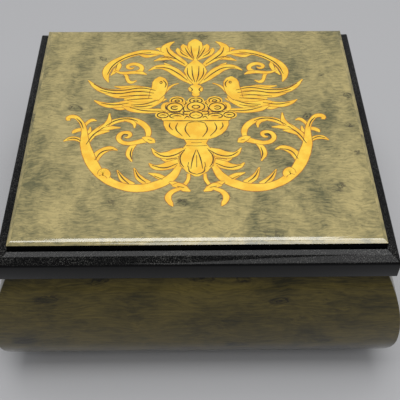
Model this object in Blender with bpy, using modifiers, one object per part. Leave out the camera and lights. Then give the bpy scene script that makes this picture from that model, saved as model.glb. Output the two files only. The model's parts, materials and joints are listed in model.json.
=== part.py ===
"""Wind-up music box: a bulging veneered case with a hinged inlaid lid and a key-wound comb movement.

Metres, +Z up, the front faces -Y. The origin is on the surface the box stands on, under its middle.
Outline offsets called u are measured outwards from the edge of the lid's raised panel.
"""

import math

import bmesh
import bpy
from mathutils import Matrix, Vector

# ---- driving dimensions -------------------------------------------------------------------------
GAP = 0.0003  # left between touching faces
RUNNING = 0.0003  # radial room round a shaft

PANEL_WIDTH = 0.130
PANEL_DEPTH = 0.119
TOTAL_HEIGHT = 0.070
LID_HEIGHT = 0.014
PANEL_RISE = 0.0038  # the panel above the moulding's inner edge
PANEL_EDGE_RADIUS = 0.0047  # the top falls away to the sides on this arc
PANEL_EDGE_ANGLE = math.radians(40)  # and has turned this far where the upright side starts
PANEL_THICKNESS = 0.010
FRAME_MARGIN = 0.005  # the moulding beyond the panel
FRAME_SLOPE = math.radians(30)
FRAME_EDGE_RADIUS = 0.0015
LINING_PAD = 0.0022

BULGE = 0.011  # widest line of the case beyond the panel
BULGE_HEIGHT = 0.022
CASE_MOUTH = 0.0016  # outer face of the case beyond the panel, at its top
CASE_FOOT = -0.0021  # and where it stands
CAVITY_INSET = 0.005  # inner face of the walls inside the panel's edge
ARC_STEPS = 9

KEY_RECESS = 0.014  # height of the base board's underside
BASE_THICKNESS = 0.004
GROOVE_DEPTH = 0.003
LINING_THICKNESS = 0.0015
DIVIDER_THICKNESS = 0.003
DIVIDER_HEIGHT = 0.0314
PAD_THICKNESS = 0.002

MOVEMENT_BAY_WIDTH = 0.0464
MOVEMENT_BAY_DEPTH = 0.0626
COVER_THICKNESS = 0.002
LEDGE_SIZE = 0.003
COVER_SLOT = (0.0078, 0.0026)

RING_ROLLS = 3
RING_BASE_HEIGHT = 0.0137

HINGE_SPREAD = 0.076  # between the two hinges' middles
HINGE_LENGTH = 0.022
HINGE_BARREL_RADIUS = 0.0018
HINGE_PIN_RADIUS = 0.0008
HINGE_LEAF = 0.0008
HINGE_SCREW_SPREAD = 0.014
SCREW_HEAD_RADIUS = 0.0016
SCREW_SHANK_RADIUS = 0.0007
HINGE_SCREW_LENGTH = 0.0034

BEDPLATE = (0.038, 0.052, 0.003)  # across, along the cylinder, thick
BARREL_RADIUS = 0.0105
BARREL_HEIGHT = 0.0069
BARREL_WALL = 0.001
CROWN_TEETH = 30
CROWN_TOOTH = 0.001
CROWN_FACE = 0.003  # radial width of the toothed rim
CROWN_SLOT = 0.66  # of one pitch
CROWN_MESH = 0.0005  # how deep the pinion's leaves reach into the crown
CYLINDER_RADIUS = 0.0065
CYLINDER_LENGTH = 0.017
CYLINDER_OFFSET = 0.002  # the cylinder's axis, right of the bedplate's middle
SHAFT_RADIUS = 0.001
LEAVES = 10  # of the cylinder's pinion
PINION_TIP = 0.003
PINION_ROOT = 0.002
TRAIN_MODULE = 0.0003
TRAIN_WHEEL_TEETH = 44
TRAIN_PINION_TEETH = 8
WORM_WHEEL_TEETH = 24
WORM_WHEEL_TIP = 0.0042
WORM_RADIUS = 0.0011
FLY_RADIUS = 0.0042
COMB_TEETH = 18
COMB_THICKNESS = 0.0012
COMB_CLEARANCE = 0.0006
COMB_TOOTH_LENGTH = 0.0062
COMB_BODY = 0.0060
ARBOR_RADIUS = 0.002
SPRING_TURNS = 4.5
SPRING_THICKNESS = 0.0005
RATCHET_TEETH = 12
RATCHET_RADIUS = 0.004
KEY_WING_WIDTH = 0.022
KEY_WING_HEIGHT = 0.009
KEY_THICKNESS = 0.002
KEY_HUB_RADIUS = 0.0032
KEY_FLOOR_CLEARANCE = 0.0018

# ---- places worked out from the sizes -----------------------------------------------------------
HALF_X = PANEL_WIDTH / 2
HALF_Y = PANEL_DEPTH / 2
CAVITY_X = HALF_X - CAVITY_INSET
CAVITY_Y = HALF_Y - CAVITY_INSET
LID_BOTTOM = TOTAL_HEIGHT - LID_HEIGHT
WALL_TOP = LID_BOTTOM - GAP
PANEL_BOTTOM = TOTAL_HEIGHT - PANEL_THICKNESS
PAD_BOTTOM = PANEL_BOTTOM - GAP - LINING_PAD
BASE_TOP = KEY_RECESS + BASE_THICKNESS
FLOOR = BASE_TOP + GAP
INNER_X = CAVITY_X - GAP - LINING_THICKNESS  # inner faces of the linings
INNER_Y = CAVITY_Y - GAP - LINING_THICKNESS
DIVIDER_TOP = FLOOR + DIVIDER_HEIGHT
BAY_RIGHT = MOVEMENT_BAY_WIDTH - INNER_X  # left face of the long divider
BAY_FRONT = INNER_Y - MOVEMENT_BAY_DEPTH  # back face of the cross divider
COVER_BOTTOM = DIVIDER_TOP + GAP
HINGE_Y = HALF_Y + FRAME_MARGIN + GAP + HINGE_BARREL_RADIUS
HINGE_Z = LID_BOTTOM - GAP / 2

MOVEMENT_X = (BAY_RIGHT - INNER_X) / 2
MOVEMENT_Y = (BAY_FRONT + INNER_Y) / 2 + 0.001
PLATE_BOTTOM = FLOOR
PLATE_TOP = PLATE_BOTTOM + BEDPLATE[2]
PLATE_FRONT = MOVEMENT_Y - BEDPLATE[1] / 2
PLATE_BACK = MOVEMENT_Y + BEDPLATE[1] / 2
AXIS_X = MOVEMENT_X + CYLINDER_OFFSET
BARREL_Y = PLATE_FRONT + BARREL_RADIUS + 0.0015
BARREL_BOTTOM = PLATE_TOP + GAP
CROWN_TOP = BARREL_BOTTOM + BARREL_HEIGHT
AXIS_Z = CROWN_TOP + PINION_TIP - CROWN_MESH
POST = 0.002  # thickness of the cylinder's bearing posts
FRONT_POST = BARREL_Y + BARREL_RADIUS + 2 * GAP
CYLINDER_FRONT = FRONT_POST + POST + 2 * GAP
CYLINDER_BACK = CYLINDER_FRONT + CYLINDER_LENGTH
WHEEL_FACE = 0.0014
WHEEL_FRONT = CYLINDER_BACK + 2 * GAP
REAR_POST = WHEEL_FRONT + WHEEL_FACE + 2 * GAP
TRAIN_X = AXIS_X + TRAIN_MODULE * (TRAIN_WHEEL_TEETH + TRAIN_PINION_TEETH) / 2
WORM_WHEEL_Y = REAR_POST + POST + 2 * GAP
GOVERNOR_PLATE_Y = WORM_WHEEL_Y + WHEEL_FACE + 2 * GAP
WORM_X = TRAIN_X + WORM_WHEEL_TIP + WORM_RADIUS + GAP
WORM_Y = WORM_WHEEL_Y + WHEEL_FACE / 2
FLY_BOTTOM = AXIS_Z + WORM_WHEEL_TIP + 0.0025
FLY_TOP = FLY_BOTTOM + 0.0035
COMB_TIP = AXIS_X - CYLINDER_RADIUS - COMB_CLEARANCE
COMB_BACK = COMB_TIP - COMB_TOOTH_LENGTH - COMB_BODY
COMB_BOTTOM = AXIS_Z - COMB_THICKNESS / 2
RATCHET_BOTTOM = CROWN_TOP + 2 * GAP
RATCHET_THICKNESS = 0.001
BRIDGE_BOTTOM = RATCHET_BOTTOM + RATCHET_THICKNESS + 2 * GAP
BRIDGE_THICKNESS = 0.0014
STOP_Y = max(WORM_Y + FLY_RADIUS, GOVERNOR_PLATE_Y + 0.0014) + 2 * GAP
STOP_THICKNESS = 0.001
STOP_PIVOT_X = TRAIN_X - 0.0070
STOP_PIVOT_Z = AXIS_Z + 0.0015
RISER_X = WORM_X + FLY_RADIUS - 0.0012


# ---- tools --------------------------------------------------------------------------------------
def clear_scene():
    for obj in list(bpy.data.objects):
        bpy.data.objects.remove(obj)


def collection(name):
    made = bpy.data.collections.new(name)
    bpy.context.scene.collection.children.link(made)
    return made


def material(name, colour, roughness, metallic=0.0):
    made = bpy.data.materials.new(name)
    made.use_nodes = True
    shader = made.node_tree.nodes["Principled BSDF"]
    shader.inputs["Base Color"].default_value = (*colour, 1)
    shader.inputs["Roughness"].default_value = roughness
    shader.inputs["Metallic"].default_value = metallic
    return made


def place(name, data, finish, location=(0, 0, 0)):
    """Links a mesh or curve as a node; without a finish it is a cutter, kept out of the object."""
    obj = bpy.data.objects.new(name, data)
    obj.location = location
    if finish is None:
        TOOLS.objects.link(obj)
        obj.hide_render = True
        obj.display_type = "WIRE"
    else:
        BOX.objects.link(obj)
        data.materials.append(finish)
    return obj


def mesh_of(name, bm):
    bmesh.ops.recalc_face_normals(bm, faces=bm.faces)
    mesh = bpy.data.meshes.new(name)
    bm.to_mesh(mesh)
    bm.free()
    return mesh


def block(name, low, high, finish=None):
    low, high = Vector(low), Vector(high)
    bm = bmesh.new()
    bmesh.ops.create_cube(bm, size=1, matrix=Matrix.Diagonal((*(high - low), 1)))
    return place(name, mesh_of(name, bm), finish, (low + high) / 2)


def rod(name, radius, start, length, finish=None, axis="Z", sides=16):
    """A round bar from start along +axis."""
    bm = bmesh.new()
    bmesh.ops.create_cone(bm, cap_ends=True, segments=sides, radius1=radius, radius2=radius, depth=length)
    bmesh.ops.translate(bm, verts=bm.verts, vec=(0, 0, length / 2))
    obj = place(name, mesh_of(name, bm), finish, start)
    obj.rotation_euler = {"Z": (0, 0, 0), "Y": (-math.pi / 2, 0, 0), "X": (0, math.pi / 2, 0)}[axis]
    smooth(obj)
    return obj


def turned(name, profile, location, finish=None, steps=24):
    """A turned solid from (radius, height) points that run down its outer side."""
    bm = bmesh.new()
    points = [bm.verts.new((radius, 0, height)) for radius, height in profile]
    for first, second in zip(points, points[1:]):
        bm.edges.new((first, second))
    if profile[0][0] > 0:
        bm.edges.new((points[-1], points[0]))
    mesh = bpy.data.meshes.new(name)
    bm.to_mesh(mesh)
    bm.free()
    obj = place(name, mesh, finish, location)
    screw = obj.modifiers.new("Turn", "SCREW")
    screw.steps = screw.render_steps = steps
    screw.use_merge_vertices = True
    screw.merge_threshold = 0.00001
    return obj


def plate(name, outlines, bottom, thickness, finish=None, axis="Z", origin=(0, 0)):
    """Flat sheet cut to closed outlines; one inside another is a hole. Axis Y stands it in the XZ plane."""
    curve = bpy.data.curves.new(name, "CURVE")
    curve.dimensions = "2D"
    curve.fill_mode = "BOTH"
    curve.extrude = thickness / 2
    for outline in outlines:
        spline = curve.splines.new("POLY")
        spline.points.add(len(outline) - 1)
        for point, (x, y) in zip(spline.points, outline):
            point.co = (x, y, 0, 1)
        spline.use_cyclic_u = True
    source = bpy.data.objects.new(name, curve)
    bpy.context.scene.collection.objects.link(source)
    bpy.context.view_layer.update()
    mesh = bpy.data.meshes.new_from_object(source.evaluated_get(bpy.context.evaluated_depsgraph_get()))
    bpy.data.objects.remove(source)
    bm = bmesh.new()
    bm.from_mesh(mesh)
    bmesh.ops.remove_doubles(bm, verts=bm.verts, dist=0.000001)
    mesh = mesh_of(name, bm)
    middle = bottom + thickness / 2
    if axis == "Z":
        return place(name, mesh, finish, (origin[0], origin[1], middle))
    obj = place(name, mesh, finish, (origin[0], middle, origin[1]))
    obj.rotation_euler = (math.pi / 2, 0, 0)
    return obj


def circle(radius, sides=16, x=0.0, y=0.0):
    return [
        (x + radius * math.cos(math.tau * i / sides), y + radius * math.sin(math.tau * i / sides))
        for i in range(sides)
    ]


def gear(teeth, tip, root, tip_share=0.26, root_share=0.50, phase=0.0):
    """Outline with a tooth centred on the phase angle; the shares are of one pitch."""
    pitch = math.tau / teeth
    corners = ((root, -root_share), (tip, -tip_share), (tip, tip_share), (root, root_share))
    return [
        (radius * math.cos(angle), radius * math.sin(angle))
        for i in range(teeth)
        for radius, share in corners
        for angle in [phase + pitch * (i + share / 2)]
    ]


def smooth(obj, angle=math.radians(35)):
    obj.data.shade_smooth()
    obj.data.set_sharp_from_angle(angle=angle)


def combine(obj, operation, *others):
    for other in others:
        modifier = obj.modifiers.new(operation.title(), "BOOLEAN")
        modifier.operation = operation
        modifier.object = other
    return obj


def cut(obj, *cutters):
    return combine(obj, "DIFFERENCE", *cutters)


def join(obj, *pieces):
    return combine(obj, "UNION", *pieces)


def pivot(name, location, pieces):
    """An empty on a joint's axis, with what moves about it parented to it."""
    empty = bpy.data.objects.new(name, None)
    empty.location = location
    TOOLS.objects.link(empty)
    for piece in pieces:
        piece.parent = empty
        piece.matrix_parent_inverse = Matrix.Translation(-Vector(location))
    return empty


SIDES = {"front": 0.0, "right": math.pi / 2, "back": math.pi, "left": -math.pi / 2}


def mitred_rail(name, section, side, finish):
    """One side of a rectangular frame: the (u, z) section run along it, its ends cut at 45 degrees."""
    across = side in ("front", "back")
    half_length, half_offset = (HALF_X, HALF_Y) if across else (HALF_Y, HALF_X)
    run = half_length + max(u for u, z in section) + 0.01
    bm = bmesh.new()
    face = bm.faces.new([bm.verts.new((-run, -(half_offset + u), z)) for u, z in section])
    swept = bmesh.ops.extrude_face_region(bm, geom=[face])
    moved = [v for v in swept["geom"] if isinstance(v, bmesh.types.BMVert)]
    bmesh.ops.translate(bm, verts=moved, vec=(2 * run, 0, 0))
    for end in (-1, 1):
        corner = Vector((end * (half_length - GAP / 2), -half_offset, 0))
        sliced = bmesh.ops.bisect_plane(
            bm,
            geom=[*bm.verts, *bm.edges, *bm.faces],
            plane_co=corner,
            plane_no=Vector((end, 1, 0)).normalized(),
            clear_outer=True,
        )
        rim = [e for e in sliced["geom_cut"] if isinstance(e, bmesh.types.BMEdge)]
        bmesh.ops.holes_fill(bm, edges=rim)
    obj = place(name, mesh_of(name, bm), finish)
    obj.rotation_euler.z = SIDES[side]
    smooth(obj)
    return obj


# ---- lid ----------------------------------------------------------------------------------------
def frame_section():
    """Lid moulding: a lip under the panel, a sloped top and a rounded outer edge."""
    inner = GAP
    inner_top = TOTAL_HEIGHT - PANEL_RISE
    radius = FRAME_EDGE_RADIUS
    middle_u = FRAME_MARGIN - radius
    tangent_u = middle_u + radius * math.sin(FRAME_SLOPE)
    middle_z = inner_top - math.tan(FRAME_SLOPE) * (tangent_u - inner) - radius * math.cos(FRAME_SLOPE)
    steps = 5
    edge = [
        (middle_u + radius * math.cos(a), middle_z + radius * math.sin(a))
        for a in [(math.pi / 2 - FRAME_SLOPE) * i / steps for i in range(steps + 1)]
    ]
    lip_top = PANEL_BOTTOM - GAP
    return [
        (-CAVITY_INSET, LID_BOTTOM),
        (FRAME_MARGIN, LID_BOTTOM),
        *edge,
        (inner, inner_top),
        (inner, lip_top),
        (-CAVITY_INSET, lip_top),
    ]


def make_lid():
    side_top = TOTAL_HEIGHT - PANEL_EDGE_RADIUS * (1 - math.cos(PANEL_EDGE_ANGLE))
    panel = block("lid_panel", (-HALF_X, -HALF_Y, PANEL_BOTTOM), (HALF_X, HALF_Y, side_top), VENEER)
    bm = bmesh.new()
    bm.from_mesh(panel.data)
    top = max(bm.faces, key=lambda face: face.normal.z)
    turns = [PANEL_EDGE_ANGLE * i / 4 for i in range(4, -1, -1)]
    for before, after in zip(turns, turns[1:]):
        inward = PANEL_EDGE_RADIUS * (math.sin(before) - math.sin(after))
        upward = PANEL_EDGE_RADIUS * (math.cos(after) - math.cos(before))
        bmesh.ops.inset_individual(bm, faces=[top], thickness=inward, depth=upward, use_even_offset=True)
    bm.to_mesh(panel.data)
    bm.free()
    smooth(panel)
    rails = [mitred_rail(f"lid_frame_{side}", frame_section(), side, LACQUER) for side in SIDES]
    pad_x, pad_y = CAVITY_X - GAP, CAVITY_Y - GAP
    lining = block("lid_lining", (-pad_x, -pad_y, PAD_BOTTOM), (pad_x, pad_y, PANEL_BOTTOM - GAP), VELVET)
    return [panel, *rails, lining]


# ---- case ---------------------------------------------------------------------------------------
def bulge_arc(rise, retreat):
    """Radius and angle of the arc that leaves the widest line upright and comes in by retreat over rise."""
    radius = (rise**2 + retreat**2) / (2 * retreat)
    return radius, math.atan2(rise, radius - retreat)


def wall_section():
    """Case wall: two arcs meeting at the bulge outside, flat with a groove for the base board inside."""
    lower, low = bulge_arc(BULGE_HEIGHT, BULGE - CASE_FOOT)
    upper, high = bulge_arc(WALL_TOP - BULGE_HEIGHT, BULGE - CASE_MOUTH)
    arcs = [(lower, -low * (1 - i / ARC_STEPS)) for i in range(ARC_STEPS)]
    arcs += [(upper, high * i / ARC_STEPS) for i in range(ARC_STEPS + 1)]
    outer = [(BULGE - r * (1 - math.cos(a)), BULGE_HEIGHT + r * math.sin(a)) for r, a in arcs]
    groove = GROOVE_DEPTH - CAVITY_INSET
    return [
        (-CAVITY_INSET, 0),
        *outer,
        (-CAVITY_INSET, WALL_TOP),
        (-CAVITY_INSET, BASE_TOP + GAP),
        (groove, BASE_TOP + GAP),
        (groove, KEY_RECESS - GAP),
        (-CAVITY_INSET, KEY_RECESS - GAP),
    ]


def make_case():
    for side in SIDES:
        mitred_rail(f"wall_{side}", wall_section(), side, VENEER)
    reach_x, reach_y = CAVITY_X + GROOVE_DEPTH - GAP, CAVITY_Y + GROOVE_DEPTH - GAP
    base = block("base_board", (-reach_x, -reach_y, KEY_RECESS), (reach_x, reach_y, BASE_TOP), PLYWOOD)
    way_start = (AXIS_X, BARREL_Y, KEY_RECESS - 0.001)
    cut(base, rod("arbor_way", ARBOR_RADIUS * 2, way_start, BASE_THICKNESS + 0.002))
    top = WALL_TOP - GAP
    outer_x, outer_y = CAVITY_X - GAP, CAVITY_Y - GAP
    block("lining_front", (-outer_x, -outer_y, FLOOR), (outer_x, -INNER_Y, top), VELVET)
    block("lining_back", (-outer_x, INNER_Y, FLOOR), (outer_x, outer_y, top), VELVET)
    block("lining_left", (-outer_x, GAP - INNER_Y, FLOOR), (-INNER_X, INNER_Y - GAP, top), VELVET)
    block("lining_right", (INNER_X, GAP - INNER_Y, FLOOR), (outer_x, INNER_Y - GAP, top), VELVET)
    return base


def make_compartments():
    side, back = INNER_X - GAP, INNER_Y - GAP
    cross_front = BAY_FRONT - DIVIDER_THICKNESS
    long_right = BAY_RIGHT + DIVIDER_THICKNESS
    block("cross_divider", (-side, cross_front, FLOOR), (side, BAY_FRONT, DIVIDER_TOP), VELVET)
    block("long_divider", (BAY_RIGHT, BAY_FRONT + GAP, FLOOR), (long_right, back, DIVIDER_TOP), VELVET)
    pad_top = FLOOR + PAD_THICKNESS
    block("floor_pad", (long_right + GAP, BAY_FRONT + GAP, FLOOR), (side, back, pad_top), VELVET)

    tray_front, tray_back = -back, cross_front - GAP
    tray_top = FLOOR + RING_BASE_HEIGHT
    block("ring_base", (-side, tray_front, FLOOR), (side, tray_back, tray_top), VELVET)
    pitch = (tray_back - tray_front) / RING_ROLLS
    radius = pitch / 2 - GAP / 2
    for i in range(RING_ROLLS):
        start = (-side, tray_front + pitch * (i + 0.5), tray_top + radius + GAP)
        rod(f"ring_roll_{i + 1}", radius, start, 2 * side, VELVET, "X", 20)

    ledge_bottom, ledge_top = DIVIDER_TOP - LEDGE_SIZE, DIVIDER_TOP
    ledge_right = LEDGE_SIZE - side
    block("cover_ledge", (-side, BAY_FRONT + GAP, ledge_bottom), (ledge_right, back, ledge_top), VELVET)
    cover_top = COVER_BOTTOM + COVER_THICKNESS
    cover_corners = (-side, cross_front, COVER_BOTTOM), (long_right, back, cover_top)
    cover = block("movement_cover", *cover_corners, ACRYLIC)
    slot_x, slot_y = COVER_SLOT
    stop_middle = STOP_Y + STOP_THICKNESS / 2
    slot = block(
        "stop_slot",
        (RISER_X - slot_x + 0.0015, stop_middle - slot_y / 2, COVER_BOTTOM - 0.001),
        (RISER_X + 0.0015, stop_middle + slot_y / 2, cover_top + 0.001),
    )
    cut(cover, slot)


# ---- hinges -------------------------------------------------------------------------------------
def hinge_leaf(name, x, on_lid):
    """A leaf with its knuckles: one in the middle on the lid, two outside it on the case."""
    third = HINGE_LENGTH / 3
    knuckles = [0] if on_lid else [-third, third]
    length = third - GAP
    thick = HINGE_LEAF
    edge = HINGE_Z + GAP * 1.5 if on_lid else HINGE_Z - GAP * 1.5 - thick
    front = HALF_Y - (0.0009 if on_lid else 0.0037)
    root = HALF_Y + FRAME_MARGIN - GAP
    half = HINGE_LENGTH / 2
    leaf = block(name, (x - half, front, edge), (x + half, root, edge + thick), BRASS)
    for i, offset in enumerate(knuckles):
        low, high = x + offset - length / 2, x + offset + length / 2
        join(leaf, block(f"{name}_neck_{i}", (low, root - 0.001, edge), (high, HINGE_Y, edge + thick)))
        barrel = rod(f"{name}_barrel_{i}", HINGE_BARREL_RADIUS, (low, HINGE_Y, HINGE_Z), length, None, "X")
        join(leaf, barrel)
    start = (x - half - 0.001, HINGE_Y, HINGE_Z)
    cut(leaf, rod(f"{name}_bore", HINGE_PIN_RADIUS + RUNNING, start, HINGE_LENGTH + 0.002, None, "X"))
    return leaf, (front, edge)


def hinge_screw(name, x, y, leaf_bottom, up):
    """A countersunk screw through a leaf; its head is flush in the leaf's hole."""
    sign = 1 if up else -1
    head = HINGE_LEAF
    profile = [
        (0, head),
        (SCREW_HEAD_RADIUS * 0.94, head),
        (SCREW_HEAD_RADIUS, head * 0.8),
        (SCREW_SHANK_RADIUS, 0),
        (SCREW_SHANK_RADIUS, -HINGE_SCREW_LENGTH + 0.0008),
        (0, -HINGE_SCREW_LENGTH),
    ]
    start = leaf_bottom if not up else leaf_bottom + HINGE_LEAF
    screw = turned(name, profile, (x, y, start), BRASS, 12)
    if sign > 0:
        screw.rotation_euler.x = math.pi
    return screw


def make_hinges(wall, rail):
    on_lid = []
    for side, x in (("left", -HINGE_SPREAD / 2), ("right", HINGE_SPREAD / 2)):
        for part, up, seat in (("case", False, wall), ("lid", True, rail)):
            name = f"hinge_{side}_{part}"
            leaf, (front, edge) = hinge_leaf(f"{name}_leaf", x, up)
            half = HINGE_LENGTH / 2 + GAP
            outside = HALF_Y + FRAME_MARGIN + BULGE
            bottom = LID_BOTTOM - 0.001 if up else edge - GAP
            top = edge + HINGE_LEAF + GAP if up else WALL_TOP + 0.001
            cut(seat, block(f"{name}_mortise", (x - half, front - GAP, bottom), (x + half, outside, top)))
            screw_y = front + SCREW_HEAD_RADIUS + 0.0009
            made = []
            for i, offset in enumerate((-HINGE_SCREW_SPREAD / 2, HINGE_SCREW_SPREAD / 2)):
                spot = x + offset
                screw = hinge_screw(f"{name}_screw_{i + 1}", spot, screw_y, edge, up)
                hole = (spot, screw_y, edge - 0.001)
                cut(leaf, rod(f"{name}_hole_{i}", SCREW_HEAD_RADIUS + GAP, hole, HINGE_LEAF + 0.002))
                start = (spot, screw_y, edge if up else edge - HINGE_SCREW_LENGTH - 2 * GAP)
                depth = HINGE_SCREW_LENGTH + HINGE_LEAF + 2 * GAP
                cut(seat, rod(f"{name}_pilot_{i}", SCREW_SHANK_RADIUS + GAP, start, depth))
                made.append(screw)
            if up:
                on_lid += [leaf, *made]
        pin_start = (x - HINGE_LENGTH / 2, HINGE_Y, HINGE_Z)
        rod(f"hinge_{side}_pin", HINGE_PIN_RADIUS, pin_start, HINGE_LENGTH, BRASS, "X", 12)
    return on_lid


# ---- movement -----------------------------------------------------------------------------------
def make_bedplate(base):
    """The movement's cast bed with its comb rest and bearing posts, and the three screws that hold it."""
    half = BEDPLATE[0] / 2
    left, right = MOVEMENT_X - half, MOVEMENT_X + half
    bed = block("bedplate", (left, PLATE_FRONT, PLATE_BOTTOM), (right, PLATE_BACK, PLATE_TOP), STEEL)
    rest_right = COMB_BACK + COMB_BODY - 0.0004
    rest_top = COMB_BOTTOM - GAP
    sunk = PLATE_TOP - 0.001
    rest = block("comb_rest", (COMB_BACK, CYLINDER_FRONT, sunk), (rest_right, CYLINDER_BACK, rest_top))
    cap = AXIS_Z + 0.0028
    post_half = 0.0035
    post_left, post_right, rear_right = AXIS_X - post_half, AXIS_X + post_half, TRAIN_X + 0.0022
    front = block("front_post", (post_left, FRONT_POST, sunk), (post_right, FRONT_POST + POST, cap))
    rear = block("rear_post", (post_left, REAR_POST, sunk), (rear_right, REAR_POST + POST, cap))
    join(bed, rest, front, rear)
    bore_length = REAR_POST + POST - FRONT_POST + 0.002
    shaft_start = (AXIS_X, FRONT_POST - 0.001, AXIS_Z)
    cut(bed, rod("shaft_bore", SHAFT_RADIUS + RUNNING, shaft_start, bore_length, None, "Y"))
    train_start = (TRAIN_X, REAR_POST - 0.001, AXIS_Z)
    cut(bed, rod("train_bore", SHAFT_RADIUS * 0.6 + RUNNING, train_start, POST + 0.002, None, "Y"))
    arbor_start = (AXIS_X, BARREL_Y, PLATE_BOTTOM - 0.001)
    cut(bed, rod("arbor_bore", ARBOR_RADIUS + RUNNING, arbor_start, BEDPLATE[2] + 0.002))

    edge = 0.0035
    spots = (
        (left + edge, PLATE_FRONT + edge),
        (left + edge, PLATE_BACK - edge),
        (right - edge, CYLINDER_FRONT),
    )
    for i, (x, y) in enumerate(spots):
        head = KEY_RECESS - GAP
        profile = [
            (0, PLATE_TOP - 0.0006),
            (0.0012, PLATE_TOP - 0.0006),
            (0.0012, head),
            (0.0028, head),
            (0.0026, head - 0.0016),
            (0, head - 0.0018),
        ]
        turned(f"mounting_screw_{i + 1}", profile, (x, y, 0), STEEL, 16)
        start = (x, y, KEY_RECESS - 0.001)
        hole = rod(f"mounting_hole_{i}", 0.0012 + GAP, start, PLATE_TOP - KEY_RECESS + 0.002)
        cut(base, hole)
        cut(bed, hole)
    return bed


def make_comb(bed):
    """Steel comb whose teeth end just clear of the cylinder, with its two screws."""
    pitch = CYLINDER_LENGTH / COMB_TEETH
    slot = pitch * 0.32
    left, root, tip = COMB_BACK, COMB_BACK + COMB_BODY, COMB_TIP
    outline = [(left, CYLINDER_FRONT), (tip, CYLINDER_FRONT)]
    for i in range(1, COMB_TEETH):
        y = CYLINDER_FRONT + pitch * i
        depth = root + 0.0022 * i / COMB_TEETH
        outline += [(tip, y - slot / 2), (depth, y - slot / 2), (depth, y + slot / 2), (tip, y + slot / 2)]
    outline += [(tip, CYLINDER_BACK), (left, CYLINDER_BACK)]
    comb = plate("comb", [outline], COMB_BOTTOM, COMB_THICKNESS, STEEL)
    for i, y in enumerate((CYLINDER_FRONT + 0.0035, CYLINDER_BACK - 0.0035)):
        x = left + COMB_BODY / 2
        top = COMB_BOTTOM + COMB_THICKNESS + GAP
        head = [(0, top + 0.0011), (0.0015, top + 0.0011), (0.0017, top)]
        profile = [*head, (0.0009, top), (0.0009, top - 0.0062)]
        turned(f"comb_screw_{i + 1}", [*profile, (0, top - 0.0065)], (x, y, 0), STEEL, 12)
        hole = rod(f"comb_hole_{i}", 0.0009 + GAP, (x, y, top - 0.007), 0.008)
        cut(comb, hole)
        cut(bed, hole)


def make_barrel():
    """Spring barrel: a cup, open below, with crown teeth in its raised rim, and the mainspring in it."""
    outer, top, roof = BARREL_RADIUS, CROWN_TOP, CROWN_TOP - CROWN_TOOTH
    rim = outer - CROWN_FACE
    hole = ARBOR_RADIUS * 0.8 + RUNNING
    profile = [
        (outer, top),
        (outer, BARREL_BOTTOM),
        (outer - BARREL_WALL, BARREL_BOTTOM),
        (outer - BARREL_WALL, roof - BARREL_WALL),
        (hole, roof - BARREL_WALL),
        (hole, roof),
        (rim, roof),
        (rim, top),
    ]
    barrel = turned("spring_barrel", profile, (AXIS_X, BARREL_Y, 0), BRASS, 36)
    slots = gear(CROWN_TEETH, outer + 0.001, rim - 0.001, CROWN_SLOT, CROWN_SLOT, math.pi / 2)
    cut(barrel, plate("crown_slots", [slots], roof + 0.00002, 0.003, origin=(AXIS_X, BARREL_Y)))

    inside, outside = ARBOR_RADIUS * 1.3 + 2 * GAP, outer - BARREL_WALL - GAP - SPRING_THICKNESS
    steps = int(SPRING_TURNS * 14)
    coil = [
        (inside + (outside - inside) * i / steps, math.tau * SPRING_TURNS * i / steps)
        for i in range(steps + 1)
    ]
    inner_line = [(r * math.cos(a), r * math.sin(a)) for r, a in coil]
    widened = [(r + SPRING_THICKNESS, a) for r, a in coil]
    outer_line = [(r * math.cos(a), r * math.sin(a)) for r, a in widened]
    height = roof - BARREL_WALL - BARREL_BOTTOM - 3 * GAP
    strip = [*inner_line, *reversed(outer_line)]
    spring = plate("mainspring", [strip], BARREL_BOTTOM + GAP, height, STEEL, origin=(AXIS_X, BARREL_Y))
    pivot("barrel_pivot", (AXIS_X, BARREL_Y, CROWN_TOP), [barrel, spring])


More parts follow.
